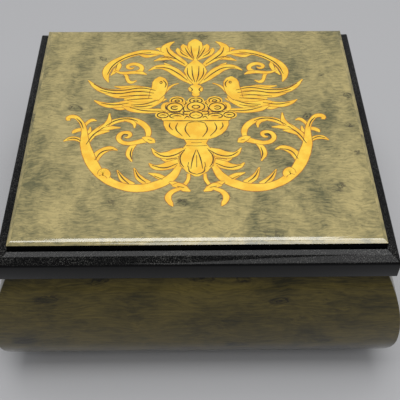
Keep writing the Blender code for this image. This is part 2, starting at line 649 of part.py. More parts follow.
def make_winding():
    """The arbor that the key turns, its ratchet wheel, the bridge over the barrel and the click."""
    roof = CROWN_TOP - CROWN_TOOTH
    key_top = KEY_RECESS - 0.0015
    arbor_bottom = KEY_FLOOR_CLEARANCE + KEY_WING_HEIGHT / 2 + 0.0015
    core = ARBOR_RADIUS * 1.3
    profile = [
        (0, BRIDGE_BOTTOM + BRIDGE_THICKNESS + GAP),
        (SHAFT_RADIUS, BRIDGE_BOTTOM + BRIDGE_THICKNESS + GAP),
        (SHAFT_RADIUS, BRIDGE_BOTTOM - GAP),
        (ARBOR_RADIUS * 0.8, BRIDGE_BOTTOM - GAP),
        (ARBOR_RADIUS * 0.8, roof - BARREL_WALL - GAP),
        (core, roof - BARREL_WALL - GAP),
        (core, BARREL_BOTTOM + GAP),
        (ARBOR_RADIUS, BARREL_BOTTOM + GAP),
        (ARBOR_RADIUS, arbor_bottom),
        (0, arbor_bottom),
    ]
    arbor = turned("winding_arbor", profile, (AXIS_X, BARREL_Y, 0), STEEL, 16)

    pitch = math.tau / RATCHET_TEETH
    saw = [
        (radius * math.cos(pitch * (i + share)), radius * math.sin(pitch * (i + share)))
        for i in range(RATCHET_TEETH)
        for radius, share in ((RATCHET_RADIUS, 0.0), (RATCHET_RADIUS * 0.8, 0.12))
    ]
    bore = circle(ARBOR_RADIUS * 0.8 + GAP)
    centre = (AXIS_X, BARREL_Y)
    ratchet = plate("ratchet_wheel", [saw, bore], RATCHET_BOTTOM, RATCHET_THICKNESS, BRASS, origin=centre)

    key = make_key(key_top, arbor_bottom - GAP)
    pivot("winding_pivot", (AXIS_X, BARREL_Y, key_top), [arbor, ratchet, key])

    reach = BARREL_RADIUS + 4 * GAP
    leg = 0.0015
    wide = 0.003
    top = BRIDGE_BOTTOM + BRIDGE_THICKNESS
    bridge = block(
        "barrel_bridge",
        (AXIS_X - reach - leg, BARREL_Y - wide, BRIDGE_BOTTOM),
        (AXIS_X + reach + leg, BARREL_Y + wide, top),
        STEEL,
    )
    for i, x in enumerate((AXIS_X - reach - leg, AXIS_X + reach)):
        foot = block(
            f"bridge_leg_{i}",
            (x, BARREL_Y - wide, PLATE_TOP + GAP),
            (x + leg, BARREL_Y + wide, BRIDGE_BOTTOM + 0.0005),
        )
        join(bridge, foot)
    bore_start = (AXIS_X, BARREL_Y, BRIDGE_BOTTOM - 0.001)
    cut(bridge, rod("bridge_bore", SHAFT_RADIUS + RUNNING, bore_start, 0.004))

    click_x = AXIS_X - RATCHET_RADIUS - 0.0040
    tip = click_x + 0.0040 - 2 * GAP
    outline = [
        (click_x - 0.0010, BARREL_Y - 0.0010),
        (click_x + 0.0010, BARREL_Y - 0.0010),
        (tip, BARREL_Y - 0.0004),
        (tip, BARREL_Y + 0.0004),
        (click_x + 0.0010, BARREL_Y + 0.0012),
        (click_x - 0.0010, BARREL_Y + 0.0012),
    ]
    click = plate("click", [outline], RATCHET_BOTTOM, RATCHET_THICKNESS, STEEL)
    pin_foot = RATCHET_BOTTOM + 0.0005
    join(click, rod("click_pin", 0.0006, (click_x, BARREL_Y, pin_foot), top - pin_foot))
    cut(bridge, rod("click_bore", 0.0006 + RUNNING, (click_x, BARREL_Y, BRIDGE_BOTTOM - 0.001), 0.004))
    pivot("click_pivot", (click_x, BARREL_Y, RATCHET_BOTTOM), [click])


def make_key(top, socket_end):
    """Butterfly key: a threaded hub and a flat wing of two round lobes, each with a hole."""
    lobe = KEY_WING_HEIGHT / 2
    reach = KEY_WING_WIDTH / 2 - lobe
    middle = KEY_FLOOR_CLEARANCE + lobe
    end = middle - 0.001
    profile = [
        (0, top),
        (KEY_HUB_RADIUS * 0.85, top),
        (KEY_HUB_RADIUS, top - 0.0006),
        (KEY_HUB_RADIUS, end + 0.0006),
        (KEY_HUB_RADIUS * 0.8, end),
        (0, end),
    ]
    hub = turned("winding_key", profile, (AXIS_X, BARREL_Y, 0), BRASS, 20)
    turns = [math.pi * i / 10 for i in range(11)]
    right = [(reach + lobe * math.sin(a), middle + lobe * math.cos(a)) for a in turns]
    waist = lobe * 0.55
    left = [(-x, z) for x, z in reversed(right)]
    outline = [(0, middle + waist), *right, (0, middle - waist), *left]
    wing = plate("key_wing", [outline], BARREL_Y - KEY_THICKNESS / 2, KEY_THICKNESS, None, "Y", (AXIS_X, 0))
    join(hub, wing)
    for x in (AXIS_X - reach, AXIS_X + reach):
        hole_start = (x, BARREL_Y - KEY_THICKNESS, middle)
        cut(hub, rod("key_hole", lobe * 0.45, hole_start, 2 * KEY_THICKNESS, None, "Y", 12))
    socket = (AXIS_X, BARREL_Y, socket_end)
    return cut(hub, rod("key_thread", ARBOR_RADIUS + GAP, socket, top - socket_end + 0.001))


def make_cylinder():
    """The pinned cylinder on its shaft, with the pinion the barrel drives and the wheel for the train."""
    start = BARREL_Y + BARREL_RADIUS - CROWN_FACE
    end = REAR_POST + POST + GAP
    shaft = rod("cylinder_shaft", SHAFT_RADIUS, (AXIS_X, start, AXIS_Z), end - start, STEEL, "Y", 12)
    leaves = gear(LEAVES, PINION_TIP, PINION_ROOT, 0.22, phase=-math.pi / 2)
    join(shaft, plate("shaft_pinion", [leaves], start, CROWN_FACE, None, "Y", (AXIS_X, AXIS_Z)))
    bore = SHAFT_RADIUS + GAP
    rim = CYLINDER_RADIUS
    profile = [
        (rim, CYLINDER_LENGTH),
        (rim, 0),
        (rim * 0.86, 0),
        (rim * 0.86, 0.0006),
        (bore, 0.0006),
        (bore, CYLINDER_LENGTH - 0.0006),
        (rim * 0.86, CYLINDER_LENGTH - 0.0006),
        (rim * 0.86, CYLINDER_LENGTH),
    ]
    drum = turned("music_cylinder", profile, (AXIS_X, CYLINDER_FRONT, AXIS_Z), BRASS, 32)
    drum.rotation_euler.x = -math.pi / 2
    pitch_radius = TRAIN_MODULE * TRAIN_WHEEL_TEETH / 2
    tip, root = pitch_radius + 0.8 * TRAIN_MODULE, pitch_radius - 1.1 * TRAIN_MODULE
    rim_teeth = gear(TRAIN_WHEEL_TEETH, tip, root)
    outline = [rim_teeth, circle(bore)]
    wheel = plate("cylinder_wheel", outline, WHEEL_FRONT, WHEEL_FACE, BRASS, "Y", (AXIS_X, AXIS_Z))
    pivot("cylinder_pivot", (AXIS_X, CYLINDER_FRONT, AXIS_Z), [shaft, drum, wheel])


def make_governor():
    """The wheel that speeds up the train, the worm with its air vane, and the bracket that carries them."""
    end = GOVERNOR_PLATE_Y + 0.0014 - GAP
    arbor_radius = SHAFT_RADIUS * 0.6
    start = WHEEL_FRONT - GAP
    wheel = rod("governor_wheel", arbor_radius, (TRAIN_X, start, AXIS_Z), end - start, BRASS, "Y", 12)
    pitch_radius = TRAIN_MODULE * TRAIN_PINION_TEETH / 2
    tip, root = pitch_radius + 0.7 * TRAIN_MODULE, pitch_radius - 1.2 * TRAIN_MODULE
    leaves = gear(TRAIN_PINION_TEETH, tip, root, 0.2, 0.5, math.pi + math.pi / TRAIN_PINION_TEETH)
    join(wheel, plate("train_pinion", [leaves], WHEEL_FRONT, WHEEL_FACE, None, "Y", (TRAIN_X, AXIS_Z)))
    rim = gear(WORM_WHEEL_TEETH, WORM_WHEEL_TIP, WORM_WHEEL_TIP - 0.0007)
    join(wheel, plate("worm_wheel", [rim], WORM_WHEEL_Y, WHEEL_FACE, None, "Y", (TRAIN_X, AXIS_Z)))
    pivot("train_pivot", (TRAIN_X, WORM_WHEEL_Y, AXIS_Z), [wheel])

    foot = PLATE_TOP + GAP
    arm_front = WORM_Y - 0.0018
    back = GOVERNOR_PLATE_Y + 0.0014
    upper = AXIS_Z + WORM_WHEEL_TIP + GAP
    right = WORM_X + 0.0022
    frame = block(
        "governor_frame",
        (STOP_PIVOT_X - 0.002, GOVERNOR_PLATE_Y, foot),
        (right, back, upper + 0.0012),
        STEEL,
    )
    arm_left, arm_back = WORM_X - 0.0022, GOVERNOR_PLATE_Y + 0.0005
    lower_arm = block("lower_arm", (arm_left, arm_front, foot), (right, arm_back, foot + 0.002))
    upper_arm = block("upper_arm", (arm_left, arm_front, upper), (right, arm_back, upper + 0.0012))
    join(frame, lower_arm, upper_arm)
    bore_start = (TRAIN_X, GOVERNOR_PLATE_Y - 0.001, AXIS_Z)
    cut(frame, rod("train_end_bore", arbor_radius + RUNNING, bore_start, 0.004, None, "Y"))
    journal = 0.0006
    cut(frame, rod("worm_bore", journal + RUNNING, (WORM_X, WORM_Y, foot - 0.001), upper - foot + 0.004))
    stud_end = STOP_Y + STOP_THICKNESS + 0.0006
    stud_start = back - 0.0005
    stud_length = stud_end - stud_start
    stud = rod("stop_stud", 0.0008, (STOP_PIVOT_X, stud_start, STOP_PIVOT_Z), stud_length, None, "Y")
    join(frame, stud)

    worm = WORM_RADIUS
    profile = [
        (0, FLY_TOP + GAP),
        (journal, FLY_TOP + GAP),
        (journal, upper - GAP),
        (worm, upper - 2 * GAP),
        (worm, foot + 0.002 + GAP),
        (journal, foot + 0.002 + GAP),
        (journal, foot + GAP),
        (0, foot + GAP),
    ]
    fly = turned("governor_fly", profile, (WORM_X, WORM_Y, 0), BRASS, 12)
    thin = 0.0005
    vane = block(
        "fly_vane",
        (WORM_X - FLY_RADIUS, WORM_Y - thin, FLY_BOTTOM),
        (WORM_X + FLY_RADIUS, WORM_Y + thin, FLY_TOP),
    )
    join(fly, vane)
    pivot("fly_pivot", (WORM_X, WORM_Y, AXIS_Z), [fly])


def make_stop_lever():
    """Bent strip that the closing lid pushes down: an eye, an arm, and a riser through the cover."""
    reach = RISER_X - STOP_PIVOT_X
    high = PAD_BOTTOM - GAP - STOP_PIVOT_Z
    half = 0.0006
    arm = FLY_TOP + 0.0012 - STOP_PIVOT_Z
    eye = [
        (0.0018 * math.cos(a), 0.0018 * math.sin(a))
        for a in [math.pi / 2 + math.pi * i / 8 for i in range(9)]
    ]
    outline = [
        *eye,
        (0.0018, -0.0018),
        (0.0030, -0.0006),
        (0.0030, arm - half),
        (reach + half, arm - half),
        (reach + half, high),
        (reach - half, high),
        (reach - half, arm + half),
        (0.0018, arm + half),
        (0.0018, 0.0018),
    ]
    hole = circle(0.0008 + RUNNING, 12)
    stud = (STOP_PIVOT_X, STOP_PIVOT_Z)
    lever = plate("stop_lever", [outline, hole], STOP_Y, STOP_THICKNESS, BRASS, "Y", stud)
    pivot("stop_pivot", (STOP_PIVOT_X, STOP_Y, STOP_PIVOT_Z), [lever])


# ---- the whole box ------------------------------------------------------------------------------
clear_scene()
BOX = collection("music_box")
TOOLS = collection("cutters_and_pivots")
VENEER = material("burl_veneer", (0.30, 0.27, 0.15), 0.30)
LACQUER = material("black_lacquer", (0.010, 0.010, 0.010), 0.15)
PLYWOOD = material("plywood", (0.55, 0.40, 0.24), 0.7)
VELVET = material("velvet", (0.25, 0.02, 0.03), 0.95)
ACRYLIC = material("acrylic", (0.85, 0.88, 0.88), 0.05)
BRASS = material("brass", (0.80, 0.58, 0.25), 0.3, 1.0)
STEEL = material("steel", (0.62, 0.62, 0.64), 0.35, 1.0)

lid_pieces = make_lid()
base_board = make_case()
make_compartments()
hinge_pieces = make_hinges(bpy.data.objects["wall_back"], bpy.data.objects["lid_frame_back"])
pivot("lid_pivot", (0, HINGE_Y, HINGE_Z), lid_pieces + hinge_pieces)
bedplate = make_bedplate(base_board)
make_comb(bedplate)
make_barrel()
make_winding()
make_cylinder()
make_governor()
make_stop_lever()
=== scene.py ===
# %% [markdown]
# A key-wound musical jewellery box.
# The box is made of veneered walls that bulge, a black lacquered moulding round the lid and an inlaid
# burl panel on top. Inside are velvet compartments and a comb movement under a clear cover.
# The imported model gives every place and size, so the frame is loaded first and nothing is fitted by eye.

# %% Load the frame
import json
import math
import random

import bpy
from mathutils import Matrix, Vector

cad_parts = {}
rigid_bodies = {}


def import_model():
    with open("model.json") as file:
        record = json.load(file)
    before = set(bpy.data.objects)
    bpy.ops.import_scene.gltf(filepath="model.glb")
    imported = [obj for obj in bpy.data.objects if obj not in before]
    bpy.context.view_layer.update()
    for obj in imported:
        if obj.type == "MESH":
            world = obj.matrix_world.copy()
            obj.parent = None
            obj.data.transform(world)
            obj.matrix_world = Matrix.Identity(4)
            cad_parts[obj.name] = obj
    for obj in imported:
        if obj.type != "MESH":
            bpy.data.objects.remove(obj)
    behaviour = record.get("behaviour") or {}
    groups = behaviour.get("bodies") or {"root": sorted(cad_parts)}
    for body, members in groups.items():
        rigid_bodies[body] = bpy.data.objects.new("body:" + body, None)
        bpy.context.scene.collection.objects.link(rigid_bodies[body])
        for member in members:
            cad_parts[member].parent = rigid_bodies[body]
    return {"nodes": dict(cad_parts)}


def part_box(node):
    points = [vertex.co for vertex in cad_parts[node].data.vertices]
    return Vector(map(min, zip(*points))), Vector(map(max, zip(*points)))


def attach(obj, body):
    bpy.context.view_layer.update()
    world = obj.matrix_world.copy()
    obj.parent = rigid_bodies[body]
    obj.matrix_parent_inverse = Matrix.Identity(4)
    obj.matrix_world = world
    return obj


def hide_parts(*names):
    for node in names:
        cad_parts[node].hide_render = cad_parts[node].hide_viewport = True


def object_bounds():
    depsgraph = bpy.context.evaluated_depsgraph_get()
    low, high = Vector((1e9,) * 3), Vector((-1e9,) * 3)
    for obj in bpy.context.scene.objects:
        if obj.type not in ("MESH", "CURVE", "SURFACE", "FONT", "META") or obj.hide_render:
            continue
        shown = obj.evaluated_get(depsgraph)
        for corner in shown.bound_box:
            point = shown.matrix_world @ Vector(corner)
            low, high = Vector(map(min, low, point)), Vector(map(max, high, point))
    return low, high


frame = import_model()
nodes = frame["nodes"]
cad_low, cad_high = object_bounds()
MM = 0.001
print("box", [round(v / MM, 1) for v in (*cad_low, *cad_high)])

# %% [markdown]
# The camera stands in front of the box and looks down at it, as a person at a table does.
# The lens is a little long, so that the sides converge only slightly towards the back.

# %% Camera
CAMERA_PLACE = (-0.0020, -0.2057, 0.2642)
CAMERA_TILT = (math.radians(40.39), math.radians(0.0), math.radians(-1.04))
CAMERA_ROLL = math.radians(0.41)
LENS = 64.5

camera = bpy.data.objects.new("camera", bpy.data.cameras.new("camera"))
bpy.context.scene.collection.objects.link(camera)
camera.data.lens = LENS
camera.data.clip_start = 0.01
turn = Matrix.Rotation(CAMERA_TILT[2], 4, "Z") @ Matrix.Rotation(CAMERA_TILT[0], 4, "X")
camera.matrix_world = Matrix.Translation(CAMERA_PLACE) @ turn @ Matrix.Rotation(CAMERA_ROLL, 4, "Z")
bpy.context.scene.camera = camera

# %% [markdown]
# A few helpers keep the cells short. An operator acts on everything that is selected, so each piece is
# taken alone before it is worked on. A finished piece has its place in its mesh and its object at the
# origin.

# %% Working helpers
def take(piece):
    """Makes the piece the only selected and the active object."""
    bpy.ops.object.select_all(action="DESELECT")
    piece.select_set(True)
    bpy.context.view_layer.objects.active = piece
    return piece


def settle(piece):
    """Applies the piece's place, turn and scale to its mesh."""
    take(piece)
    bpy.ops.object.transform_apply(location=True, rotation=True, scale=True)
    return piece


def cube(low, high):
    """A box between two corners, added at its size and place."""
    low, high = Vector(low), Vector(high)
    bpy.ops.mesh.primitive_cube_add(size=1, location=(low + high) / 2, scale=high - low)
    return settle(bpy.context.object)


def modify(piece, kind, **settings):
    """Adds a modifier and applies it."""
    take(piece)
    made = piece.modifiers.new(kind.title(), kind)
    for key, value in settings.items():
        setattr(made, key, value)
    bpy.ops.object.modifier_apply(modifier=made.name)
    return piece


def edit(piece):
    """Opens the piece for editing with everything selected."""
    take(piece)
    bpy.ops.object.mode_set(mode="EDIT")
    bpy.ops.mesh.select_all(action="SELECT")


def leave():
    """Goes back to object mode."""
    bpy.ops.object.mode_set(mode="OBJECT")


def outward(piece):
    """Turns every face of the piece to look outward."""
    edit(piece)
    bpy.ops.mesh.normals_make_consistent(inside=False)
    leave()
    return piece


def complete(piece, name, body, material, replaced=(), angle=35):
    """Names a finished piece, gives it its finish, ties it to its body and hides the nodes it stands for.
    """
    settle(piece)
    piece.name = piece.data.name = name
    bpy.ops.object.shade_smooth_by_angle(angle=math.radians(angle))
    piece.data.materials.clear()
    piece.data.materials.append(material)
    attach(piece, body)
    if replaced:
        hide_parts(*replaced)
    return piece


# %% [markdown]
# Materials are node trees. This helper adds a node, sets its options and fills or links its sockets,
# so that each finish below reads as a list of what it is made of.

# %% Node helpers
def add(tree, kind, sockets=None, **options):
    made = tree.nodes.new(kind)
    for key, value in options.items():
        setattr(made, key, value)
    for socket, value in (sockets or {}).items():
        if isinstance(value, bpy.types.NodeSocket):
            tree.links.new(value, made.inputs[socket])
        else:
            made.inputs[socket].default_value = value
    return made


def group(name, inputs, outputs):
    """An empty node group with named float, colour or vector sockets."""
    kinds = {"value": "NodeSocketFloat", "colour": "NodeSocketColor", "vector": "NodeSocketVector"}
    tree = bpy.data.node_groups.new(name, "ShaderNodeTree")
    for label, kind in inputs.items():
        tree.interface.new_socket(label, in_out="INPUT", socket_type=kinds[kind])
    for label, kind in outputs.items():
        tree.interface.new_socket(label, in_out="OUTPUT", socket_type=kinds[kind])
    return tree, tree.nodes.new("NodeGroupInput"), tree.nodes.new("NodeGroupOutput")


def use(tree, grouped, sockets):
    """Places a node group in a tree."""
    return add(tree, "ShaderNodeGroup", sockets, node_tree=grouped)


def here(tree):
    """The place of a point on the object, in metres."""
    return add(tree, "ShaderNodeTexCoord").outputs["Object"]


def noise(tree, vector, scale, detail=3.0, roughness=0.5, distortion=0.0):
    sockets = {"Vector": vector, "Scale": scale, "Detail": detail}
    sockets |= {"Roughness": roughness, "Distortion": distortion}
    return add(tree, "ShaderNodeTexNoise", sockets).outputs["Fac"]


def ramp(tree, value, low, high, first=0.0, last=1.0):
    """A value mapped smoothly from one range to another."""
    sockets = {"Value": value, "From Min": low, "From Max": high, "To Min": first, "To Max": last}
    return add(tree, "ShaderNodeMapRange", sockets, interpolation_type="SMOOTHSTEP").outputs["Result"]


def maths(tree, operation, first, second=0.0):
    return add(tree, "ShaderNodeMath", {0: first, 1: second}, operation=operation).outputs[0]


def times(tree, first, second):
    return maths(tree, "MULTIPLY", first, second)


def vector_maths(tree, operation, sockets):
    return add(tree, "ShaderNodeVectorMath", sockets, operation=operation).outputs[0]


def stretched(tree, vector, scale):
    return add(tree, "ShaderNodeMapping", {"Vector": vector, "Scale": scale}).outputs["Vector"]


def blend_colours(tree, factor, first, second):
    return add(tree, "ShaderNodeMix", {0: factor, 6: first, 7: second}, data_type="RGBA").outputs[2]


def finish(name, roughness=0.5, metallic=0.0, **sockets):
    """A new material with a Principled shader. Its tree and its shader are returned too."""
    material = bpy.data.materials.new(name)
    material.use_nodes = True
    shader = material.node_tree.nodes["Principled BSDF"]
    shader.inputs["Roughness"].default_value = roughness
    shader.inputs["Metallic"].default_value = metallic
    for key, value in sockets.items():
        shader.inputs[key.replace("_", " ")].default_value = value
    return material, material.node_tree, shader


def paint(tree, shader, source, socket="Base Color"):
    """Links a colour, or another value, to a socket of the shader."""
    tree.links.new(source, shader.inputs[socket])


def relief(tree, shader, height, distance, strength):
    """Gives the shader a bump of so many metres."""
    bump = add(tree, "ShaderNodeBump", {"Height": height, "Distance": distance, "Strength": strength})
    tree.links.new(bump.outputs["Normal"], shader.inputs["Normal"])


# %% [markdown]
# Burl veneer is a thin sheet cut from a knotty growth. Its fibres run one way in wavy streaks, with
# cloudy light and dark patches and small swirls round the eyes. Noise stretched along the grain gives the
# fibres, wide noise gives the clouds, and cells with a ring in only some of them give the eyes.
# It is one group, so the lid and the walls share it with their own tones.

# %% The burl group
burl, burl_in, burl_out = group(
    "burl_figure",
    {"Vector": "vector", "Light": "colour", "Dark": "colour", "Eye": "colour"},
    {"Color": "colour", "Height": "value"},
)
EYE_CELLS = 120.0  # cells in a metre
EYE_RADIUS = 0.40  # of a cell
EYE_RINGS = 26.0
SWAY = 0.010  # metres that the fibres wander
CLOUDS, WIDE_CLOUDS, MOTTLE, FIBRES, PORES = 58.0, 24.0, 260.0, 210.0, 420.0  # noise scales


def build_burl():
    tree = burl
    place = burl_in.outputs["Vector"]
    sway = add(tree, "ShaderNodeTexNoise", {"Vector": place, "Scale": 60.0, "Detail": 3.0}).outputs["Color"]
    centred = vector_maths(tree, "SUBTRACT", {0: sway, 1: (0.5, 0.5, 0.5)})
    swayed = vector_maths(tree, "ADD", {0: place, 1: vector_maths(tree, "SCALE", {0: centred, 3: SWAY})})

    cells = add(tree, "ShaderNodeTexVoronoi", {"Vector": swayed, "Scale": EYE_CELLS, "Randomness": 1.0})
    chance = add(tree, "ShaderNodeSeparateColor", {"Color": cells.outputs["Color"]}).outputs["Red"]
    chosen = ramp(tree, chance, 0.76, 0.80)
    near = ramp(tree, cells.outputs["Distance"], EYE_RADIUS, 0.10)
    eye = times(tree, near, chosen)
    ragged = times(tree, noise(tree, place, 520.0, 3.0), 17.0)
    phase = maths(tree, "ADD", times(tree, cells.outputs["Distance"], EYE_RINGS), ragged)
    curl = times(tree, eye, ramp(tree, maths(tree, "SINE", phase), 0.1, 0.9))

    clouds = noise(tree, stretched(tree, swayed, (1.35, 0.62, 1.0)), CLOUDS, 5.0, 0.6)
    wide = noise(tree, stretched(tree, place, (1.0, 0.7, 1.0)), WIDE_CLOUDS, 3.0)
    fibres = noise(tree, stretched(tree, swayed, (1.0, 6.0, 6.0)), FIBRES, 5.0, 0.7)
    pores = noise(tree, stretched(tree, swayed, (1.0, 5.0, 5.0)), PORES, 3.0, 0.7)
    mottle = noise(tree, swayed, MOTTLE, 2.0, 0.6)

    tone = ramp(tree, clouds, 0.34, 0.60, 0.04, 0.48)
    tone = maths(tree, "ADD", tone, ramp(tree, wide, 0.36, 0.58, 0.02, 0.35))
    tone = maths(tree, "ADD", tone, ramp(tree, fibres, 0.30, 0.70, -0.27, 0.34))
    tone = maths(tree, "ADD", tone, ramp(tree, mottle, 0.36, 0.64, -0.09, 0.09))
    tone = maths(tree, "SUBTRACT", tone, times(tree, eye, 0.34))
    body = blend_colours(tree, tone, burl_in.outputs["Dark"], burl_in.outputs["Light"])
    fleck = ramp(tree, pores, 0.56, 0.72, 0.0, 0.58)
    marks = maths(tree, "MAXIMUM", times(tree, curl, 0.95), fleck)
    colour = blend_colours(tree, marks, body, burl_in.outputs["Eye"])
    height = maths(tree, "SUBTRACT", fibres, marks)
    tree.links.new(colour, burl_out.inputs["Color"])
    tree.links.new(height, burl_out.inputs["Height"])


build_burl()

# %% [markdown]
# The grain has to run along each wall and meet at the mitres, as four sheets of veneer do. This group
# swaps the two level directions where the surface faces left or right, from the surface's own normal.

# %% The grain direction group
along, _, along_out = group("along_each_side", {}, {"Vector": "vector"})


def build_along():
    tree = along
    place = add(tree, "ShaderNodeTexCoord")
    facing = add(tree, "ShaderNodeSeparateXYZ", {"Vector": place.outputs["Normal"]})
    sideways = maths(tree, "ABSOLUTE", facing.outputs["X"])
    endways = maths(tree, "ABSOLUTE", facing.outputs["Y"])
    on_side = maths(tree, "GREATER_THAN", sideways, maths(tree, "MAXIMUM", endways, 0.35))
    spot = add(tree, "ShaderNodeSeparateXYZ", {"Vector": place.outputs["Object"]})
    lifted = maths(tree, "ADD", spot.outputs["Z"], 0.4)
    turned = {"X": spot.outputs["Y"], "Y": spot.outputs["X"], "Z": lifted}
    swapped = add(tree, "ShaderNodeCombineXYZ", turned).outputs[0]
    choice = {0: on_side, 4: place.outputs["Object"], 5: swapped}
    chosen = add(tree, "ShaderNodeMix", choice, data_type="VECTOR")
    tree.links.new(chosen.outputs[1], along_out.inputs["Vector"])


build_along()

# %% [markdown]
# Both veneers are the same burl under gloss lacquer. The lid's is pale olive. The walls' tones are painted
# much darker, as painted shade for walls that face away from the light, with the figure drawn out along the
# wall. The colour and the faint relief come from the group and the shine from a coat.

# %% Veneer finishes
def veneer(name, light, dark, eye, offset, shine, drawn):
    coat = {"Coat_Weight": 1.0, "Coat_Roughness": 0.09, "Coat_IOR": shine}
    made, tree, shader = finish(name, 0.38, Specular_IOR_Level=0.15, **coat)
    spot = use(tree, along, {}).outputs["Vector"]
    sockets = {"Vector": spot, "Location": (offset, offset, offset), "Scale": (drawn, 1, 1)}
    moved = add(tree, "ShaderNodeMapping", sockets).outputs[0]
    figure = use(tree, burl, {"Vector": moved, "Light": light, "Dark": dark, "Eye": eye})
    paint(tree, shader, figure.outputs["Color"])
    relief(tree, shader, figure.outputs["Height"], 0.00004, 0.5)
    return made


lid_tones = (0.475, 0.385, 0.155, 1), (0.108, 0.104, 0.040, 1), (0.050, 0.040, 0.016, 1)
# The wall tones are painted dark: painted shade on walls turned away from the lamps, on the same burl as
# the lid.
wall_tones_with_painted_shade = (0.112, 0.084, 0.016, 1), (0.022, 0.018, 0.003, 1), (0.011, 0.007, 0.001, 1)
lid_veneer = veneer("lid_burl", *lid_tones, offset=0.013, shine=1.95, drawn=1.0)
wall_veneer_with_painted_shade = veneer("wall_burl_painted_shade", *wall_tones_with_painted_shade, offset=0.2, shine=1.30, drawn=0.5)

# %% [markdown]
# Black piano lacquer is deep black with a mirror-like coat. On the moulding's slope it has gathered
# fine dust, so a speckle mask lifts the colour and dulls the shine there, and nowhere else.

# %% Black lacquer
dust, dust_in, dust_out = group("settled_dust", {"Vector": "vector", "Reach": "value"}, {"Mask": "value"})


def build_dust():
    tree = dust
    fine = ramp(tree, noise(tree, dust_in.outputs["Vector"], 2600.0, 2.0, 0.7), 0.50, 0.72)
    patches = ramp(tree, noise(tree, dust_in.outputs["Vector"], 60.0, 3.0, 0.6), 0.30, 0.75, 0.25, 1.0)
    mask = times(tree, times(tree, fine, patches), dust_in.outputs["Reach"])
    tree.links.new(mask, dust_out.inputs["Mask"])


build_dust()


def lacquer():
    coat = {"Coat_Weight": 1.0, "Coat_Roughness": 0.04, "Coat_IOR": 1.26}
    made, tree, shader = finish("black_lacquer", 0.2, Specular_IOR_Level=0.0, **coat)
    place = add(tree, "ShaderNodeTexCoord")
    upward = add(tree, "ShaderNodeSeparateXYZ", {"Vector": place.outputs["Normal"]}).outputs["Z"]
    reach = ramp(tree, upward, 0.55, 0.85)
    mask = use(tree, dust, {"Vector": place.outputs["Object"], "Reach": reach}).outputs["Mask"]
    colour = blend_colours(tree, mask, (0.002, 0.002, 0.002, 1), (0.13, 0.127, 0.118, 1))
    paint(tree, shader, colour)
    paint(tree, shader, maths(tree, "ADD", times(tree, reach, 0.22), 0.10), "Roughness")
    ripple = noise(tree, place.outputs["Object"], 90.0, 2.0)
    relief(tree, shader, ripple, 0.00004, 0.6)
    return made


black_lacquer = lacquer()

# %% [markdown]
# The four walls bulge on every side and meet at sharp upright corners. A rectangle is drawn once and
# then extruded, lifted and resized for each point of the wall's section, so that all four sides and their
# mitres come from the same section. The last ring is bridged to the first, which closes the shell.

# %% Sweeping a section round a rectangle
def sweep_rectangle(half_x, half_y, section):
    """Rings a rectangle with a closed section of (outward, height) points."""
    reach, height = section[0]
    size = (2 * (half_x + reach), 2 * (half_y + reach), 1)
    bpy.ops.mesh.primitive_plane_add(size=1, location=(0, 0, height))
    ring = bpy.context.object
    ring.scale = size
    settle(ring)
    bpy.ops.object.mode_set(mode="EDIT")
    bpy.ops.mesh.select_mode(type="EDGE")
    bpy.ops.mesh.select_all(action="SELECT")
    bpy.ops.mesh.delete(type="ONLY_FACE")
    bpy.ops.mesh.select_all(action="SELECT")
    for (before, low), (after, high) in zip(section, section[1:]):
        bpy.ops.mesh.extrude_edges_move(TRANSFORM_OT_translate={"value": (0, 0, high - low)})
        grow = ((half_x + after) / (half_x + before), (half_y + after) / (half_y + before), 1)
        bpy.ops.transform.resize(value=grow, center_override=(0, 0, high))
    bpy.ops.mesh.select_all(action="DESELECT")
    bpy.ops.mesh.select_non_manifold()
    bpy.ops.mesh.bridge_edge_loops()
    bpy.ops.mesh.select_all(action="SELECT")
    bpy.ops.mesh.normals_make_consistent(inside=False)
    leave()
    return ring


def arc(centre, radius, first, last, steps):
    """Points on an arc in the (outward, height) plane; angles in radians from straight outward."""
    angles = [first + (last - first) * i / steps for i in range(steps + 1)]
    return [(centre[0] + radius * math.cos(a), centre[1] + radius * math.sin(a)) for a in angles]


# %% [markdown]
# The pieces below are drawn from a few sizes of the frame: the panel's and the moulding's outlines, the
# top of the walls and how far they bulge.

# %% Sizes read from the frame
panel_low, panel_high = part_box("lid_panel")
rail_low, rail_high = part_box("lid_frame_front")
wall_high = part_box("wall_front")[1]
HALF_X, HALF_Y = panel_high.x, panel_high.y
TOP = panel_high.z
LID_BOTTOM = rail_low.z
FRAME_OUT = rail_high.x - HALF_X
SLOPE_TOP = rail_high.z
BULGE = cad_high.x - HALF_X
WALL_TOP = wall_high.z
INNER = -(wall_high.y + HALF_Y)  # the wall's inner face, measured outward from the panel's edge
print("panel", HALF_X, HALF_Y, "bulge", BULGE, "wall top", WALL_TOP, "inner", INNER)

# %% [markdown]
# The wall's section is two arcs that meet at the widest line: a long one above and a tighter one
# that tucks in to the foot. Many small steps keep the outline smooth, and a hair of rounding at the corners
# and the rims catches light as a lacquered edge does.

# %% The case shell
WIDEST = 0.022  # height of the widest line
MOUTH = 0.0016  # outer face beyond the panel at the top
FOOT = -0.0021  # and at the foot
WALL_EASE = 0.0004


def bulge_arc(rise, retreat):
    """The radius and the angle of an arc that rises and draws back by so much from upright."""
    radius = (rise**2 + retreat**2) / (2 * retreat)
    return radius, math.atan2(rise, radius - retreat)


